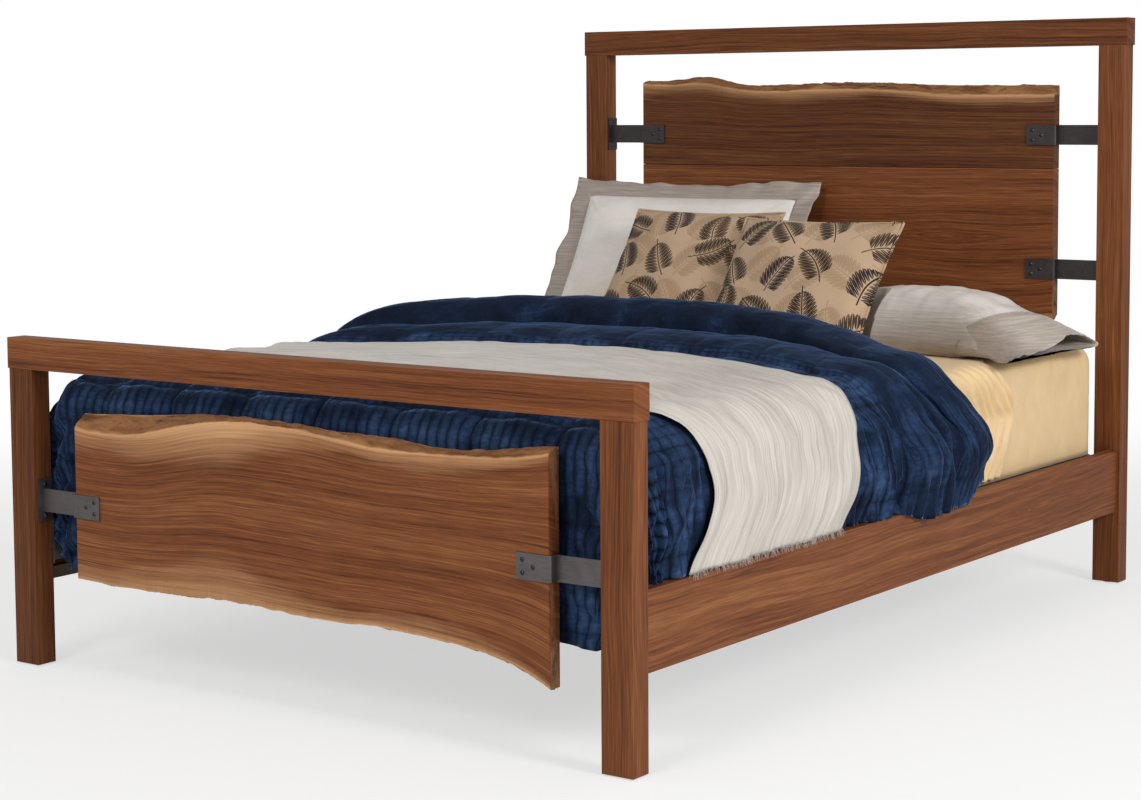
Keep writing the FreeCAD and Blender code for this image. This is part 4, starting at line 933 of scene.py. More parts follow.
def make_fitted_sheet():
    block = sheet_block(0.0)
    drop = SHEET_RADIUS * math.pi / 2 + MATTRESS_TOP - SHEET_RADIUS - SHEET_LOW[2] - 0.003
    reach = block.half + drop
    a, b = flat_grid(-reach, reach, block.foot - drop, block.head + drop, 0.014)
    place, normal = block.lay(a, b, drop, drop, drop)
    spot = stacked(a, b)
    side = smooth(0.0, 0.5, np.maximum(drop_share(block, a, drop), np.abs(b) - block.head))
    lie = 0.0009 * ripple(spot, 0.21, 61) + 0.0006 * side * ripple(spot, 0.06, 62) - 0.0006
    outer = place + normal * lie[..., None]
    inner = place - normal * 0.0018
    material = woven_satin("cream_cotton", colours().sheet, "uv")
    piece = shell("fitted_sheet_cloth", outer, inner, spot, material)
    finish_piece(piece, "cream_cotton", "fitted_sheet")
    area = cloth_area(outer)
    width = 2 * reach
    length = 2 * (block.head + drop)
    min(area, width * length)


def cloth_area(grid):
    """Area of a grid of points."""
    along = grid[1:, :-1] - grid[:-1, :-1]
    across = grid[:-1, 1:] - grid[:-1, :-1]
    return float(np.linalg.norm(np.cross(along, across), axis=-1).sum())


def make_top_sheet():
    """Cream sheet over the mattress, whose head end hangs in soft upright folds at the sides."""
    block = sheet_block(0.0022)
    drop = SHEET_RADIUS * math.pi / 2 + MATTRESS_TOP - SHEET_RADIUS - RAIL_TOP - 0.004
    reach = block.half + drop
    head = TOP_SHEET_HEAD
    a, w = flat_grid(-reach, reach, 0.0, 1.0, 0.007)
    hang = drop_share(block, a, drop)
    tail = np.interp(np.abs(a), TAIL_ACROSS, np.array(TAIL_LINE) + head - TAIL_LINE[0])
    start = 0.02
    b = start + (tail - start) * w
    place, normal = block.lay(a, b, drop, NO_DROP, NO_DROP)
    spot = stacked(a, b)
    near = smooth(tail - 0.30, tail - 0.12, b)
    wave = np.sin((b - tail) * 2 * math.pi / 0.040 + 1.5 * ripple(stacked(b, hang * 0.3), 0.16, 71))
    fold = 0.0075 * (1 + wave) * near * smooth(0.0, 0.35, hang) * mix(1.0, 0.7, smooth(0.5, 1.0, hang))
    lie = 0.0006 * (1 + ripple(spot, 0.09, 72)) + fold
    outer = place + normal * lie[..., None]
    inner = underside(outer, normal, 0.0014)
    material = woven_satin("cream_top_cotton", colours().sheet, "uv")
    piece = shell("top_sheet_cloth", outer, inner, spot, material)
    finish_piece(piece, "cream_cotton", "top_sheet")
    2 * reach
    min(cloth_area(outer), 2 * reach * (head - start + 0.03))


def rounded_box(name, low, high, radius, material):
    """Box with rounded edges and evenly spaced points."""
    work = bmesh.new()
    bmesh.ops.create_cube(work, size=1)
    low, high = np.array(low), np.array(high)
    for v in work.verts:
        v.co = Vector(((low + high) / 2 + np.array(v.co) * (high - low)))
    bmesh.ops.bevel(work, geom=work.edges[:], offset=radius, segments=5, profile=0.5, affect="EDGES")
    for axis, way in enumerate(np.eye(3)):
        count = int((high[axis] - low[axis]) / 0.25)
        for i in range(1, count + 1):
            at = way * (low[axis] + (high[axis] - low[axis]) * i / (count + 1))
            everything = work.verts[:] + work.edges[:] + work.faces[:]
            bmesh.ops.bisect_plane(work, geom=everything, plane_co=at, plane_no=way)
    mesh = bpy.data.meshes.new(name)
    work.to_mesh(mesh)
    work.free()
    mesh.materials.append(material)
    mesh.shade_smooth()
    return linked(name, mesh)


def welt(name, box_low, box_high, level, radius, corner, material):
    """Corded edge that runs round a block at one level."""
    hx, hy = (box_high[0] - box_low[0]) / 2 - corner, (box_high[1] - box_low[1]) / 2 - corner
    points = []
    for quarter, (sx, sy) in enumerate(((1, 1), (-1, 1), (-1, -1), (1, -1))):
        for step in range(7):
            turn = (quarter + step / 6) * math.pi / 2
            points.append((sx * hx + corner * math.cos(turn), sy * hy + corner * math.sin(turn), level))
    count = len(points)
    ring_points = []
    for i, p in enumerate(points):
        way = (Vector(points[(i + 1) % count]) - Vector(points[i - 1])).normalized()
        out = way.cross(Vector((0, 0, 1)))
        for k in range(CORD_SIDES):
            t = 2 * math.pi * k / CORD_SIDES
            ring_points.append(Vector(p) + out * radius * math.cos(t) + Vector((0, 0, radius * math.sin(t))))
    return outward(new_piece(name, ring_points, tube_faces(range(count), CORD_SIDES), material))


def make_mattress():
    low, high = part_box("mattress")
    ticking = woven_satin("mattress_ticking", (0.74, 0.71, 0.64), "object", weave=700.0)
    piece = rounded_box("mattress_body", low, high, 0.045, ticking)
    finish_piece(piece, "mattress_ticking", "mattress")


def make_foundation():
    low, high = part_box("foundation")
    # The cover and the welt tape are dark charcoal as painted shade under the mattress.
    cover = woven_satin("foundation_cover", (0.060, 0.052, 0.052), "object", weave=600.0)
    low = [low[0] + 0.002, low[1] + 0.002, low[2]]
    high = [high[0] - 0.002, high[1] - 0.002, high[2]]
    piece = rounded_box("foundation_box", low, high, 0.010, cover)
    finish_piece(piece, "foundation_fabric", "foundation")
    tape = woven_satin("foundation_tape", (0.030, 0.027, 0.027), "object", weave=900.0)
    for label, level in (("lower", low[2] + 0.012), ("upper", high[2] - 0.012)):
        cord = welt("foundation_welt_" + label, low, high, level, 0.0028, 0.012, tape)
        finish_piece(cord, "foundation_fabric")


# Pillows
PILLOW_FLOOR = MATTRESS_TOP + 0.0035
SEAM_WIDTH = 0.006
SWELL_FRAMES = 20
SWELL = {"quality": 4, "mass": 0.25, "tension_stiffness": 12, "compression_stiffness": 6,
         "shear_stiffness": 4, "bending_stiffness": 0.25, "use_pressure": True,
         "uniform_pressure_force": 4.0, "shrink_min": 0.0}


def lens(width, height, thickness, draw, fullness):
    """Closed cushion in its own flat frame: drawn-in sides, full middle, seam at its edge."""
    count = 48
    s = np.linspace(-1, 1, count)
    u, v = np.meshgrid(s, s, indexing="ij")
    x = width / 2 * u * (1 - draw * (1 - v ** 2) * np.abs(u))
    y = height / 2 * v * (1 - draw * (1 - u ** 2) * np.abs(v))
    rise = thickness / 2 * ((1 - u ** 2) * (1 - v ** 2)) ** fullness
    quads = grid_quads(np.arange(count * count).reshape(count, count))
    points = np.concatenate([stacked(x, y, rise).reshape(-1, 3), stacked(x, y, -rise).reshape(-1, 3)])
    return points, np.concatenate([quads, quads[:, ::-1] + count * count])


def puffed(piece, voxel, limit):
    """Remesh a closed pillow, let it swell under pressure with its seam held, and keep the result."""
    modifier = piece.modifiers.new("voxels", "REMESH")
    modifier.mode = "VOXEL"
    modifier.voxel_size = voxel
    bake(piece)
    mesh = piece.data
    start = coordinates(mesh)
    held = piece.vertex_groups.new(name="seam")
    out = np.abs(start)
    spread = np.maximum(out[:, 0] / out[:, 0].max(), out[:, 1] / out[:, 1].max())
    for i in np.nonzero((out[:, 2] < SEAM_WIDTH) & (spread > 0.86))[0]:
        held.add([int(i)], 1.0, "REPLACE")
    cloth = piece.modifiers.new("swell", "CLOTH")
    for key, value in SWELL.items():
        setattr(cloth.settings, key, value)
    cloth.settings.effector_weights.gravity = 0
    cloth.settings.vertex_group_mass = "seam"
    cloth.point_cache.frame_start = 1
    cloth.point_cache.frame_end = SWELL_FRAMES
    scene = bpy.context.scene
    for f in range(1, SWELL_FRAMES + 1):
        scene.frame_set(f)
    swollen = piece.evaluated_get(bpy.context.evaluated_depsgraph_get())
    move = coordinates(swollen.to_mesh()) - start
    swollen.to_mesh_clear()
    piece.modifiers.remove(cloth)
    scene.frame_set(1)
    far = np.linalg.norm(move, axis=-1, keepdims=True)
    set_coordinates(piece, start + move * np.minimum(1, limit / np.maximum(far, 1e-9)))
    piece.vertex_groups.clear()


def filled(name, size, draw, fullness, voxel_share, material):
    """Body of a pillow: a lens that has swollen, with finer points."""
    points, faces = lens(*size, draw, fullness)
    body = outward(new_piece(name, points, faces, material), merge=True)
    puffed(body, sizes().pillow_voxel * voxel_share, sizes().puff_limit)
    modifier = body.modifiers.new("finer", "SUBSURF")
    modifier.levels = 1
    modifier.render_levels = 1
    bake(body)
    return body


def bake(piece):
    """Apply the piece's modifiers to its mesh."""
    graph = bpy.context.evaluated_depsgraph_get()
    mesh = bpy.data.meshes.new_from_object(piece.evaluated_get(graph), depsgraph=graph)
    piece.modifiers.clear()
    old = piece.data
    piece.data = mesh
    bpy.data.meshes.remove(old)
    mesh.shade_smooth()


def coordinates(mesh):
    flat = np.empty(len(mesh.vertices) * 3)
    mesh.vertices.foreach_get("co", flat)
    return flat.reshape(-1, 3)


def set_coordinates(piece, points):
    piece.data.vertices.foreach_set("co", points.ravel())
    piece.data.update()


def carried(points, matrix):
    """Points moved and turned by a matrix."""
    return points @ np.array(matrix.to_3x3()).T + np.array(matrix.translation)


def seat(piece, matrix, level):
    """Put a pillow in place and flatten its underside where it rests."""
    soften = 0.004
    points = carried(coordinates(piece.data), matrix)
    low = points[:, 2] - level
    flattened = soften * np.exp(np.minimum(low - soften, 0) / soften) * 0.5 + 0.0004
    points[:, 2] = level + np.where(low < soften, flattened, low)
    set_coordinates(piece, points)


def join(pieces, name):
    """One piece from several meshes with the same material."""
    work = bmesh.new()
    for piece in pieces:
        work.from_mesh(piece.data)
    mesh = bpy.data.meshes.new(name)
    work.to_mesh(mesh)
    work.free()
    for material in pieces[0].data.materials:
        mesh.materials.append(material)
    mesh.shade_smooth()
    for piece in pieces:
        bpy.data.objects.remove(piece)
    return linked(name, mesh)


def pillow_rim(width, height, draw, count):
    """Points round a pillow's seam, anticlockwise."""
    points = []
    for side in range(4):
        for i in range(count):
            t = -1 + 2 * i / count
            pull = 1 - draw * (1 - t ** 2)
            x, y = {0: (pull, t), 1: (-t, pull), 2: (-pull, -t), 3: (t, -pull)}[side]
            points.append((x * width / 2, y * height / 2))
    return np.array(points)


def rim_band(name, inner, outer, lift_outer, thickness, material, rows):
    """Thin closed band between two rings of points, such as a flange."""
    rings = []
    for side in (1, -1):
        for row in range(rows):
            t = row / (rows - 1)
            flat = inner * (1 - t) + outer * t
            height = lift_outer * t ** 1.4 + side * thickness / 2 * (1 - 0.3 * t)
            rings.append(np.column_stack([flat, height]))
    order = list(range(rows)) + list(range(2 * rows - 1, rows - 1, -1))
    return outward(new_piece(name, np.concatenate(rings), tube_faces(order, len(inner)), material))


def ring_tube(name, outer, inner, material):
    """Closed tube of cloth between two grids whose columns run right round."""
    rows, columns = outer.shape[:2]
    count = rows * columns
    index = np.arange(count).reshape(rows, columns)
    index = np.column_stack([index, index[:, 0]])
    quads = grid_quads(index)
    ends = [stacked(ring[:-1], ring[1:], ring[1:] + count, ring[:-1] + count)
            for ring in (index[0], index[-1])]
    faces = np.concatenate([quads, quads[:, ::-1] + count] + ends)
    points = np.concatenate([outer.reshape(-1, 3), inner.reshape(-1, 3)])
    return outward(new_piece(name, points, faces, material))


def cord_ring(name, path, radius, material):
    """Corded seam that follows a flat ring of points."""
    way = np.roll(path, -1, axis=0) - np.roll(path, 1, axis=0)
    way /= np.linalg.norm(way, axis=1, keepdims=True)
    out = np.column_stack([way[:, 1], -way[:, 0]])
    points = []
    for turn in np.arange(CORD_SIDES) * 2 * math.pi / CORD_SIDES:
        height = np.full(len(path), radius * math.sin(turn))
        points.append(np.column_stack([path + out * radius * math.cos(turn), height]))
    faces = tube_faces(range(CORD_SIDES), len(path))
    return outward(new_piece(name, np.concatenate(points), faces, material))


CUSHIONS = {
    "cushion_left": {"middle": (-0.255, 0.700, 0.752), "turn": -0.05, "seed": 3},
    "cushion_right": {"middle": (0.150, 0.598, 0.742), "turn": -0.03, "seed": 8},
}
CUSHION_SIZE = (0.470, 0.440, 0.118)
CUSHION_LEAN = math.radians(52)
SHAM_MIDDLE = (-0.424, 0.915, 0.800)
SHAM_SIZE = (0.680, 0.340, 0.100)
SHAM_FLANGE = 0.055
SHAM_LEAN = math.radians(62)
PILLOW_MIDDLE = (0.485, 0.691)
PILLOW_SIZE = (0.570, 0.490, 0.152)
PILLOW_HEM = 0.074
PILLOW_TURN = math.radians(-2)
PILLOW_RISE = 0.0700
PILLOW_DROOP = 0.040
PILLOW_FULLNESS = 0.40


def leaned(middle, lean):
    return Matrix.Translation(middle) @ Matrix.Rotation(lean, 4, "X")


def make_cushion(node):
    spec = CUSHIONS[node]
    width, height, thick = CUSHION_SIZE
    seed = spec["seed"]
    material = sprig_print(node + "_print", spec["middle"], CUSHION_LEAN, seed)
    body = filled(node + "_body", (width - 0.016, height - 0.016, thick), 0.05, 0.42, 1, material)
    points = coordinates(body.data)
    dent = 0.0035 * ripple(points[:, :2] + seed, 0.16, seed)
    points[:, 2] += dent * np.sign(points[:, 2]) * smooth(0.002, 0.02, np.abs(points[:, 2]))
    set_coordinates(body, points)
    edge = cord_ring(node + "_edge", pillow_rim(width - 0.012, height - 0.012, 0.05, 40), 0.0034, material)
    piece = join([body, edge], node + "_cover")
    seat(piece, leaned(spec["middle"], CUSHION_LEAN), PILLOW_FLOOR)
    finish_piece(piece, "printed_cotton", node)


def make_sham():
    width, height = SHAM_SIZE[:2]
    # The flange's darker tint is painted shade.
    material = woven_satin("sham_satin", tinted(colours().satin, 1.66), "object", sheen=0.3, rough=0.40,
                           crumple=2.6, trim_shade=(0.355, 0.300, 0.258))
    body = filled("sham_body", SHAM_SIZE, 0.03, 0.38, 1.15, material)
    inner = pillow_rim(width - 0.006, height - 0.006, 0.03, 60)
    outer = pillow_rim(width + 2 * SHAM_FLANGE, height + 2 * SHAM_FLANGE, 0.02, 60)
    wave = 0.0105 * ripple(outer, 0.13, 81)
    across = np.clip(np.abs(outer[:, 0]) / (width / 2 + SHAM_FLANGE), 0, 1)
    outer[:, 1] -= 0.016 * smooth(0.1, 0.3, outer[:, 1]) * (1 - across ** 3)
    sag = -0.012 * smooth(0.1, 0.4, outer[:, 1])
    flange = rim_band("sham_flange", inner, outer, wave + sag, 0.0026, material, 9)
    body_points = len(body.data.vertices)
    piece = join([body, flange], "sham_case")
    mark_trim_shade(piece, body_points)
    seat(piece, leaned(SHAM_MIDDLE, SHAM_LEAN), MATTRESS_TOP + 0.0008)
    finish_piece(piece, "sham_satin", "sham")


def mark_trim_shade(piece, body_points):
    """Mark what comes after the body's points, the flange or hem, for its painted shade."""
    mark_points(piece, "trim_shade", np.arange(len(piece.data.vertices)) >= body_points)


def make_lying_pillow():
    width, height = PILLOW_SIZE[:2]
    # The hem's darker tint and the darker front are painted shade.
    material = woven_satin("pillow_satin", tinted(colours().satin, 1.62), "object", sheen=0.3, rough=0.32,
                           crumple=3.2, trim_shade=(0.500, 0.430, 0.370), front=(0.465, (0.190, 0.140, 0.100)))
    body = filled("pillow_body", PILLOW_SIZE, 0.09, PILLOW_FULLNESS, 1.1, material)
    points = coordinates(body.data)
    from_middle = np.maximum(np.abs(points[:, 0]) / (width / 2), np.abs(points[:, 1]) / (height / 2))
    points[:, 2] -= PILLOW_DROOP * smooth(0.35, 1.0, from_middle)
    creases = 0.0036 * ripple(points[:, :2] * [1.0, 0.35], 0.075, 96)
    points[:, 2] += creases * smooth(0.002, 0.02, points[:, 2])
    set_coordinates(body, points)
    hem = pillow_hem(width, height, material)
    for part in (body, hem):
        points = coordinates(part.data)
        to_front = smooth(-0.2, 1.0, -points[:, 1] / (height / 2))
        points[:, 1] += 0.17 * np.maximum(width * 0.42 - points[:, 0], 0) * to_front
        points[:, 0] -= PILLOW_HEM / 2
        set_coordinates(part, points)
    body_points = len(body.data.vertices)
    place = Matrix.Rotation(PILLOW_TURN, 4, "Z")
    place.translation = (*PILLOW_MIDDLE, MATTRESS_TOP + PILLOW_RISE)
    seat(body, place, PILLOW_FLOOR)
    seat(hem, place, MATTRESS_TOP - 0.0300)
    piece = join([body, hem], "lying_pillow_case")
    mark_trim_shade(piece, body_points)
    clear_of_cushion(piece)
    finish_piece(piece, "sham_satin", "lying_pillow")


def pillow_hem(width, height, material):
    """Open end of the pillowcase: a flat tube of cloth that goes on past the filling."""
    rows, columns = 18, 120
    t, turn = np.meshgrid(np.linspace(0, 1, rows), np.arange(columns) * 2 * math.pi / columns,
                          indexing="ij")
    c, s = np.cos(turn), np.sin(turn)
    v = np.sign(c) * np.abs(c) ** 0.55
    upper = np.sign(s) * np.abs(s) ** 0.5
    start = width / 2 - 0.062
    x = start + (PILLOW_HEM + 0.060) * t
    y = height / 2 * (0.975 - 0.01 * np.sin(math.pi * t) + 0.025 * t) * v
    spot = stacked(x, y)
    full = thick_at(start / (width / 2), np.clip(v, -1, 1) * 0.98)
    fallen = PILLOW_DROOP * smooth(0.35, 1.0, np.maximum(np.abs(start) / (width / 2), np.abs(v)))
    top_start = full + 0.0030 - fallen
    low = -PILLOW_RISE + 0.0025
    front = smooth(0.2, 1.0, -v)
    open_part = smooth(-0.25, 0.45, v) * (1 - 0.6 * smooth(0.75, 1.0, v))
    top_end = low + 0.013 + 0.026 * open_part + 0.010 * (1 - v ** 2) + 0.005 * ripple(spot, 0.14, 91)
    top = mix(np.maximum(top_start, low + 0.046), top_end, smooth(0.0, 1.0, t))
    top = top - 0.0025 * np.exp(-((t - 0.36) / 0.035) ** 2)
    top = top + 0.0022 * ripple(spot * [0.5, 1.0], 0.035, 95) * smooth(0.4, 0.7, t)
    over_edge = smooth(0.262, 0.330, x - PILLOW_HEM / 2)
    bottom = low + 0.004 * (1 + ripple(spot, 0.16, 92)) * t - over_edge * (0.010 + 0.012 * front)
    top = top - over_edge * 0.008
    z = mix(bottom, top, (upper + 1) / 2)
    x = x + 0.006 * ripple(stacked(v * 0.2, upper * 0.05), 0.12, 93) * t
    x = x + 0.006 * (upper + 1) * t * (v + 1) * -0.5
    outer = stacked(x, y, z)
    around = np.roll(outer, -1, axis=1) - np.roll(outer, 1, axis=1)
    along = np.gradient(outer, axis=0)
    normal = np.cross(around, along)
    normal /= np.maximum(np.linalg.norm(normal, axis=-1, keepdims=True), 1e-9)
    from_core = outer - outer.mean(axis=1, keepdims=True)
    if np.sum(normal * from_core) < 0:
        normal = -normal
    return ring_tube("pillow_hem", outer, outer - normal * 0.0018, material)


def thick_at(u, v):
    """Half thickness of the lying pillow at a share of its half width and half height."""
    return PILLOW_SIZE[2] / 2 * ((1 - u ** 2) * (1 - v ** 2)) ** PILLOW_FULLNESS


def clear_of_cushion(piece):
    """Press the lying pillow in where the cushion beside it leans, as its CAD solid is cut."""
    place = leaned(CUSHIONS["cushion_right"]["middle"], CUSHION_LEAN)
    local = carried(coordinates(piece.data), place.inverted())
    width, height, thick = CUSHION_SIZE
    u = np.clip(np.abs(local[:, 0]) / (width / 2 + 0.012), 0, 1)
    v = np.clip(np.abs(local[:, 1]) / (height / 2 + 0.012), 0, 1)
    half = (thick / 2 + 0.022) * ((1 - u ** 2) * (1 - v ** 2)) ** 0.36
    inside = (np.abs(local[:, 2]) < half) & (u < 1) & (v < 1)
    local[:, 2] = np.where(inside, -half, local[:, 2])
    points = carried(local, place)
    points[:, 2] = np.maximum(points[:, 2], PILLOW_FLOOR)
    set_coordinates(piece, points)


# Live edge panels
def edge_line(node, face_y, high):
    """The live edge of a CAD board on one face, as a function of the place along the board."""
    points = coordinates(NODES[node].data)
    points = points[np.abs(points[:, 1] - face_y) < 1e-4]
    bottom, top = points[:, 2].min(), points[:, 2].max()
    middle = (bottom + top) / 2
    reach = (top - bottom) * 0.27
    keep = points[:, 2] > middle + reach if high else points[:, 2] < middle - reach
    points = points[keep]
    points = points[np.argsort(points[:, 0])]
    return lambda x: np.interp(x, points[:, 0], points[:, 2])


def make_board(node, name, material, live_low, live_high, seed):
    """Board lofted along its length, with worn arrises and rippled live edges."""
    low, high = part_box(node)
    near, far = low[1], high[1]
    count = 420
    stations = np.linspace(low[0], high[0], count)
    lines = {}
    for side in ("low", "high"):
        for y in (near, far):
            lines[side, y] = edge_line(node, y, side == "high")(stations)
    arris = 0.0009
    face_rows, edge_rows = 10, 14
    rings = []
    marks = {"rise": [], "edge": [], "wane": []}
    full = float(np.mean(lines["high", near] - lines["low", near]))

    def row(y, z, rise, edge, wane):
        rings.append(stacked(stations, np.broadcast_to(y, count), z))
        for label, value in (("rise", rise), ("edge", edge), ("wane", wane)):
            marks[label].append(np.broadcast_to(value, count))

    def face(y, top_first):
        bottom, top = lines["low", y], lines["high", y]
        for i in range(face_rows):
            t = 1 - i / (face_rows - 1) if top_first else i / (face_rows - 1)
            z = bottom + arris + (top - bottom - 2 * arris) * t
            to_high = top - z if live_high else 1.0
            to_low = z - bottom if live_low else 1.0
            row(y, z, full * t, np.minimum(to_high, to_low), 0.0)

    def rim(side, start, stop, live):
        sign = 1 if side == "high" else -1
        level = full if side == "high" else 0.0
        for i in range(edge_rows):
            t = (i + 0.5) / edge_rows
            y = start + (stop - start) * t
            z = lines[side, start] * (1 - t) + lines[side, stop] * t
            body = math.sin(math.pi * t) ** 0.5
            spot = np.column_stack([stations, np.full(count, t * 0.05)])
            if live:
                rough = 0.0030 * (ripple(spot * [1, 2.2], 0.05, seed, 3) + ripple(spot, 0.16, seed + 1))
                row(y, z + sign * body * (rough + 0.0025), level, 0.0, body)
            else:
                row(y, z - sign * arris * (1 - body), level, 1.0, 0.0)

    face(near, False)
    rim("high", near, far, live_high)
    face(far, True)
    rim("low", far, near, live_low)
    index = np.arange(len(rings) * count).reshape(-1, count)
    closed = np.concatenate([index, index[:1]])
    quads = stacked(closed[:-1, :-1], closed[:-1, 1:], closed[1:, 1:], closed[1:, :-1]).reshape(-1, 4)
    faces = [tuple(f) for f in quads] + [tuple(index[::-1, 0]), tuple(index[:, -1])]
    piece = new_piece(name, np.concatenate(rings), faces, material)
    for label, values in marks.items():
        mark_points(piece, label, np.concatenate(values))
    outward(piece)
    piece.data.set_sharp_from_angle(angle=math.radians(38))
    return finish_piece(piece, "walnut_live_edge", node)


# Operators, one for each piece or group of like pieces
def paint(node, material):
    """Give a CAD node its finish."""
    mesh = NODES[node].data
    mesh.materials.clear()
    mesh.materials.append(material)


class BED_OT_woodwork(bpy.types.Operator):
    """Walnut on the posts, the top rails and the side rails"""
    bl_idname = "bed.woodwork"
    bl_label = "Posts and rails"

    def execute(self, context):
        paint("foot_top_rail", walnut("walnut_foot_top_rail", "X", 2.0, 1.04))
        paint("head_top_rail", walnut("walnut_head_top_rail", "X", 5.0, 0.72))
        for i, side in enumerate(("left", "right")):
            paint("foot_post_" + side, walnut("walnut_foot_post_" + side, "Z", 11.0 + 3 * i, (0.62, 0.92)[i]))
            paint("head_post_" + side, walnut("walnut_head_post_" + side, "Z", 17.0 + 3 * i, 0.84))
            paint("side_rail_" + side,
                  walnut("walnut_side_rail_" + side, "Y", 23.0 + 3 * i, 0.94, (0.62, 0.262, 0.16), 0.07))
        return {"FINISHED"}


class BED_OT_live_edge_panels(bpy.types.Operator):
    """Foot slab and head boards with their live edges"""
    bl_idname = "bed.live_edge_panels"
    bl_label = "Live edge panels"

    def execute(self, context):
        slab = live_edge_walnut("walnut_foot_slab", 31.0, 1.0, 0.085, None, 0.34,
                                [(0.10, 0.85), (0.40, 1.05), (0.60, 0.60), (1.0, 0.52)])
        upper = live_edge_walnut("walnut_head_upper", 37.0, 0.54, 0.040, None, 0.36)
        lower = live_edge_walnut("walnut_head_lower", 43.0, 0.92, 0.040, (0.33, 0.215, 0.15))
        make_board("foot_panel_slab", "foot_slab_board", slab, True, True, 101)
        make_board("head_panel_upper_board", "head_upper_live_board", upper, False, True, 111)
        make_board("head_panel_lower_board", "head_lower_live_board", lower, True, False, 121)
        return {"FINISHED"}


class BED_OT_ironwork(bpy.types.Operator):
    """Blackened steel straps, screws and the hooked rail joints"""
    bl_idname = "bed.ironwork"
    bl_label = "Straps and screws"

    def execute(self, context):
        strap = blackened_steel("foot_strap_steel", colours().steel)
        # The head straps take a darker copy of the same steel as painted shade.
        shaded_head_strap = blackened_steel("head_strap_steel", tinted(colours().steel, 0.5))
        button = blackened_steel("button_steel", (0.05, 0.047, 0.05), 0.3)
        zinc = blackened_steel("zinc_steel", (0.42, 0.42, 0.40), 0.36)
        for node in NODES:
            if "bracket" in node:
                plate = shaded_head_strap if node.startswith("head") else strap
                paint(node, button if node.endswith("screws") else plate)
            elif node.startswith(("post_receiver", "rail_hook", "leg_inserts")) or node.endswith("screws"):
                paint(node, zinc)
        return {"FINISHED"}


class BED_OT_supports(bpy.types.Operator):
    """Poplar slats, cleats, beam and legs, and the nylon glides"""
    bl_idname = "bed.supports"
    bl_label = "Slats and legs"

    def execute(self, context):
        # The slats and the cleats are darkened as painted shade under the mattress.
        across = pale_wood("shade_darkened_slats", "X", 51.0, 0.30)
        along = pale_wood("poplar_beam", "Y", 53.0)
        cleat = pale_wood("shade_darkened_cleats", "Y", 55.0, 0.16)
        upright = pale_wood("poplar_legs", "Z", 57.0)
        nylon = moulded_nylon("glide_nylon")
        for node in NODES:
            if node.startswith("slat_cleat"):
                paint(node, cleat)
            elif node == "centre_beam":
                paint(node, along)
            elif node.startswith("centre_leg"):
                paint(node, upright)
            elif node.startswith("slat_") and not node.endswith("screws"):
                paint(node, across)
            elif "glide" in node:
                paint(node, nylon)
        return {"FINISHED"}


class BED_OT_mattress(bpy.types.Operator):
    """Foundation, mattress and the two sheets"""
    bl_idname = "bed.mattress"
    bl_label = "Mattress and sheets"

    def execute(self, context):
        make_foundation()
        make_mattress()
        make_fitted_sheet()
        make_top_sheet()
        return {"FINISHED"}


class BED_OT_quilt(bpy.types.Operator):
    """Velvet quilt with its folded head end"""
    bl_idname = "bed.quilt"
    bl_label = "Quilt"

    def execute(self, context):
        make_quilt()
        return {"FINISHED"}


class BED_OT_throw(bpy.types.Operator):
    """Silk throw across the foot third"""
    bl_idname = "bed.throw"
    bl_label = "Throw"

    def execute(self, context):
        make_throw()
        return {"FINISHED"}


class BED_OT_sham(bpy.types.Operator):
    """Flanged sham against the head panel"""
    bl_idname = "bed.sham"
    bl_label = "Sham"

    def execute(self, context):
        make_sham()
        return {"FINISHED"}


class BED_OT_cushions(bpy.types.Operator):
    """Two printed scatter cushions"""
    bl_idname = "bed.cushions"
    bl_label = "Scatter cushions"

    def execute(self, context):
        for node in CUSHIONS:
            make_cushion(node)
        return {"FINISHED"}


class BED_OT_lying_pillow(bpy.types.Operator):
    """Sleeping pillow that lies flat beside the cushions"""
    bl_idname = "bed.lying_pillow"
    bl_label = "Lying pillow"

    def execute(self, context):
        make_lying_pillow()
        return {"FINISHED"}


def soft_lamp(name, place, target, size, watts):
    lamp = bpy.data.lights.new(name, "AREA")
    lamp.shape = "DISK"
    lamp.size = size
    lamp.energy = watts
    holder = linked(name, lamp)
    holder.location = place
    holder.rotation_euler = (Vector(target) - Vector(place)).to_track_quat("-Z", "Y").to_euler()


def white_world(strength):
    """Soft even light, with plain white where the camera looks past the object."""
    world = bpy.data.worlds.new("studio")
    bpy.context.scene.world = world
    world.use_nodes = True
    tree = world.node_tree
    light = tree.nodes["Background"]
    light.inputs[0].default_value = (1.0, 0.99, 0.975, 1)
    light.inputs[1].default_value = strength
    white = tree.nodes.new("ShaderNodeBackground")
    white.inputs[0].default_value = (1, 1, 1, 1)
    white.inputs[1].default_value = 1.0
    path = tree.nodes.new("ShaderNodeLightPath")
    either = tree.nodes.new("ShaderNodeMath")
    either.operation = "MAXIMUM"
    tree.links.new(path.outputs["Is Camera Ray"], either.inputs[0])
    tree.links.new(path.outputs["Is Transmission Ray"], either.inputs[1])
    choose = tree.nodes.new("ShaderNodeMixShader")
    tree.links.new(either.outputs[0], choose.inputs[0])
    tree.links.new(light.outputs[0], choose.inputs[1])
    tree.links.new(white.outputs[0], choose.inputs[2])
    tree.links.new(choose.outputs[0], tree.nodes["World Output"].inputs[0])


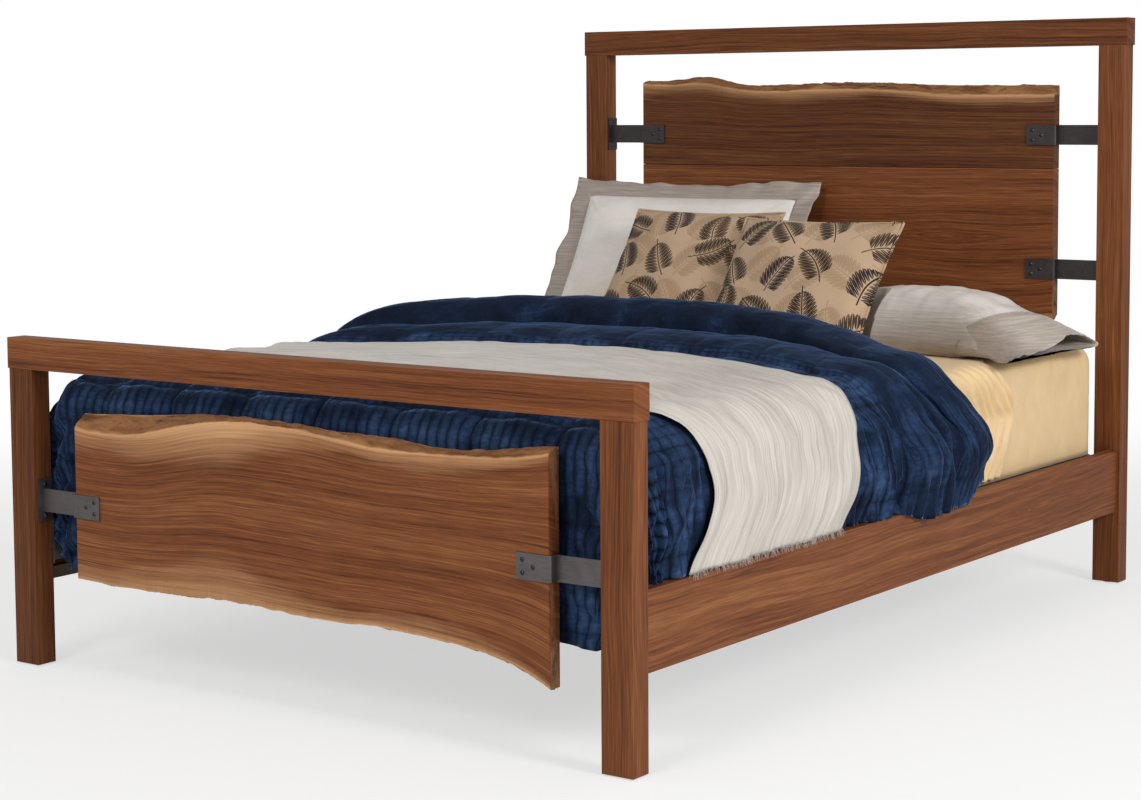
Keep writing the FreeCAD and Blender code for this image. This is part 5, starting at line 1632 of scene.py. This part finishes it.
def pale_floor():
    """Pale floor that fades to the white backdrop away from the bed."""
    n = Nodes("pale_floor")
    x, y = n.split(n.object_place())[:2]
    away = n.math("SQRT", x * x + y * y)
    far = n.ramp(away / 8.0, [(0.20, 0.0), (0.55, 1.0)], "EASE")
    n.finish((0.90, 0.90, 0.90), 0.9)
    glow = n.add("ShaderNodeEmission", {"Strength": 1.0})
    seen = n.add("ShaderNodeLightPath", {}, "Is Camera Ray") * (far * 0.4 + 0.6)
    choose = n.add("ShaderNodeMixShader", {0: seen, 1: n.shader.outputs[0], 2: glow})
    n.link(choose, n.tree.nodes["Material Output"].inputs[0])
    half = 14.0
    floor = new_piece("floor", [(-half, -half, 0), (half, -half, 0), (half, half, 0), (-half, half, 0)],
                      [(0, 1, 2, 3)], n.material, False)


def photo_camera():
    yaw, pitch, roll = CAMERA_YAW, CAMERA_PITCH, CAMERA_ROLL
    ahead = Vector((math.sin(yaw) * math.cos(pitch), math.cos(yaw) * math.cos(pitch), math.sin(pitch)))
    right = Vector((math.cos(yaw), -math.sin(yaw), 0))
    up = right.cross(ahead)
    across = right * math.cos(roll) + up * math.sin(roll)
    above = up * math.cos(roll) - right * math.sin(roll)
    camera = bpy.data.cameras.new("camera")
    camera.lens = CAMERA_LENS
    camera.shift_y = CAMERA_SHIFT_DOWN
    holder = linked("camera", camera)
    turn = Matrix((across, above, -ahead)).transposed()
    holder.matrix_world = Matrix.Translation(CAMERA_PLACE) @ turn.to_4x4()
    bpy.context.scene.camera = holder


class BED_OT_stage(bpy.types.Operator):
    """Pale floor, soft studio light and the camera"""
    bl_idname = "bed.stage"
    bl_label = "Stage"

    def execute(self, context):
        white_world(0.45)
        pale_floor()
        soft_lamp("key_light", (0.6, -5.6, 4.2), (0.0, 0.0, 0.5), 2.0, 112)
        soft_lamp("side_light", (5.4, -1.4, 3.0), (0.2, 0.1, 0.5), 1.5, 160)
        photo_camera()
        context.scene.view_settings.view_transform = "Standard"
        return {"FINISHED"}


STEPS = ("stage", "woodwork", "live_edge_panels", "ironwork", "supports", "mattress", "quilt", "throw",
         "sham", "cushions", "lying_pillow")


class BED_PT_panel(bpy.types.Panel):
    bl_idname = "BED_PT_panel"
    bl_label = "Live edge bed"
    bl_space_type = "VIEW_3D"
    bl_region_type = "UI"
    bl_category = "Bed"

    def draw(self, context):
        settings = context.scene.live_edge_bed
        for group in (settings.sizes, settings.colours):
            for name in group.bl_rna.properties.keys():
                if name not in ("rna_type", "name"):
                    self.layout.prop(group, name)
        for step in STEPS:
            self.layout.operator("bed." + step)


CLASSES = (BeddingSizes, BedColours, BedSettings, BED_OT_woodwork, BED_OT_live_edge_panels, BED_OT_ironwork,
           BED_OT_supports, BED_OT_mattress, BED_OT_quilt, BED_OT_throw, BED_OT_sham, BED_OT_cushions,
           BED_OT_lying_pillow, BED_OT_stage, BED_PT_panel)


def register():
    for item in CLASSES:
        bpy.utils.register_class(item)
    bpy.types.Scene.live_edge_bed = bpy.props.PointerProperty(type=BedSettings)


def unregister():
    del bpy.types.Scene.live_edge_bed
    for item in reversed(CLASSES):
        bpy.utils.unregister_class(item)


def main():
    register()
    for step in STEPS:
        getattr(bpy.ops.bed, step)()
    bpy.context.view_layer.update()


if __name__ == "__main__":
    main()
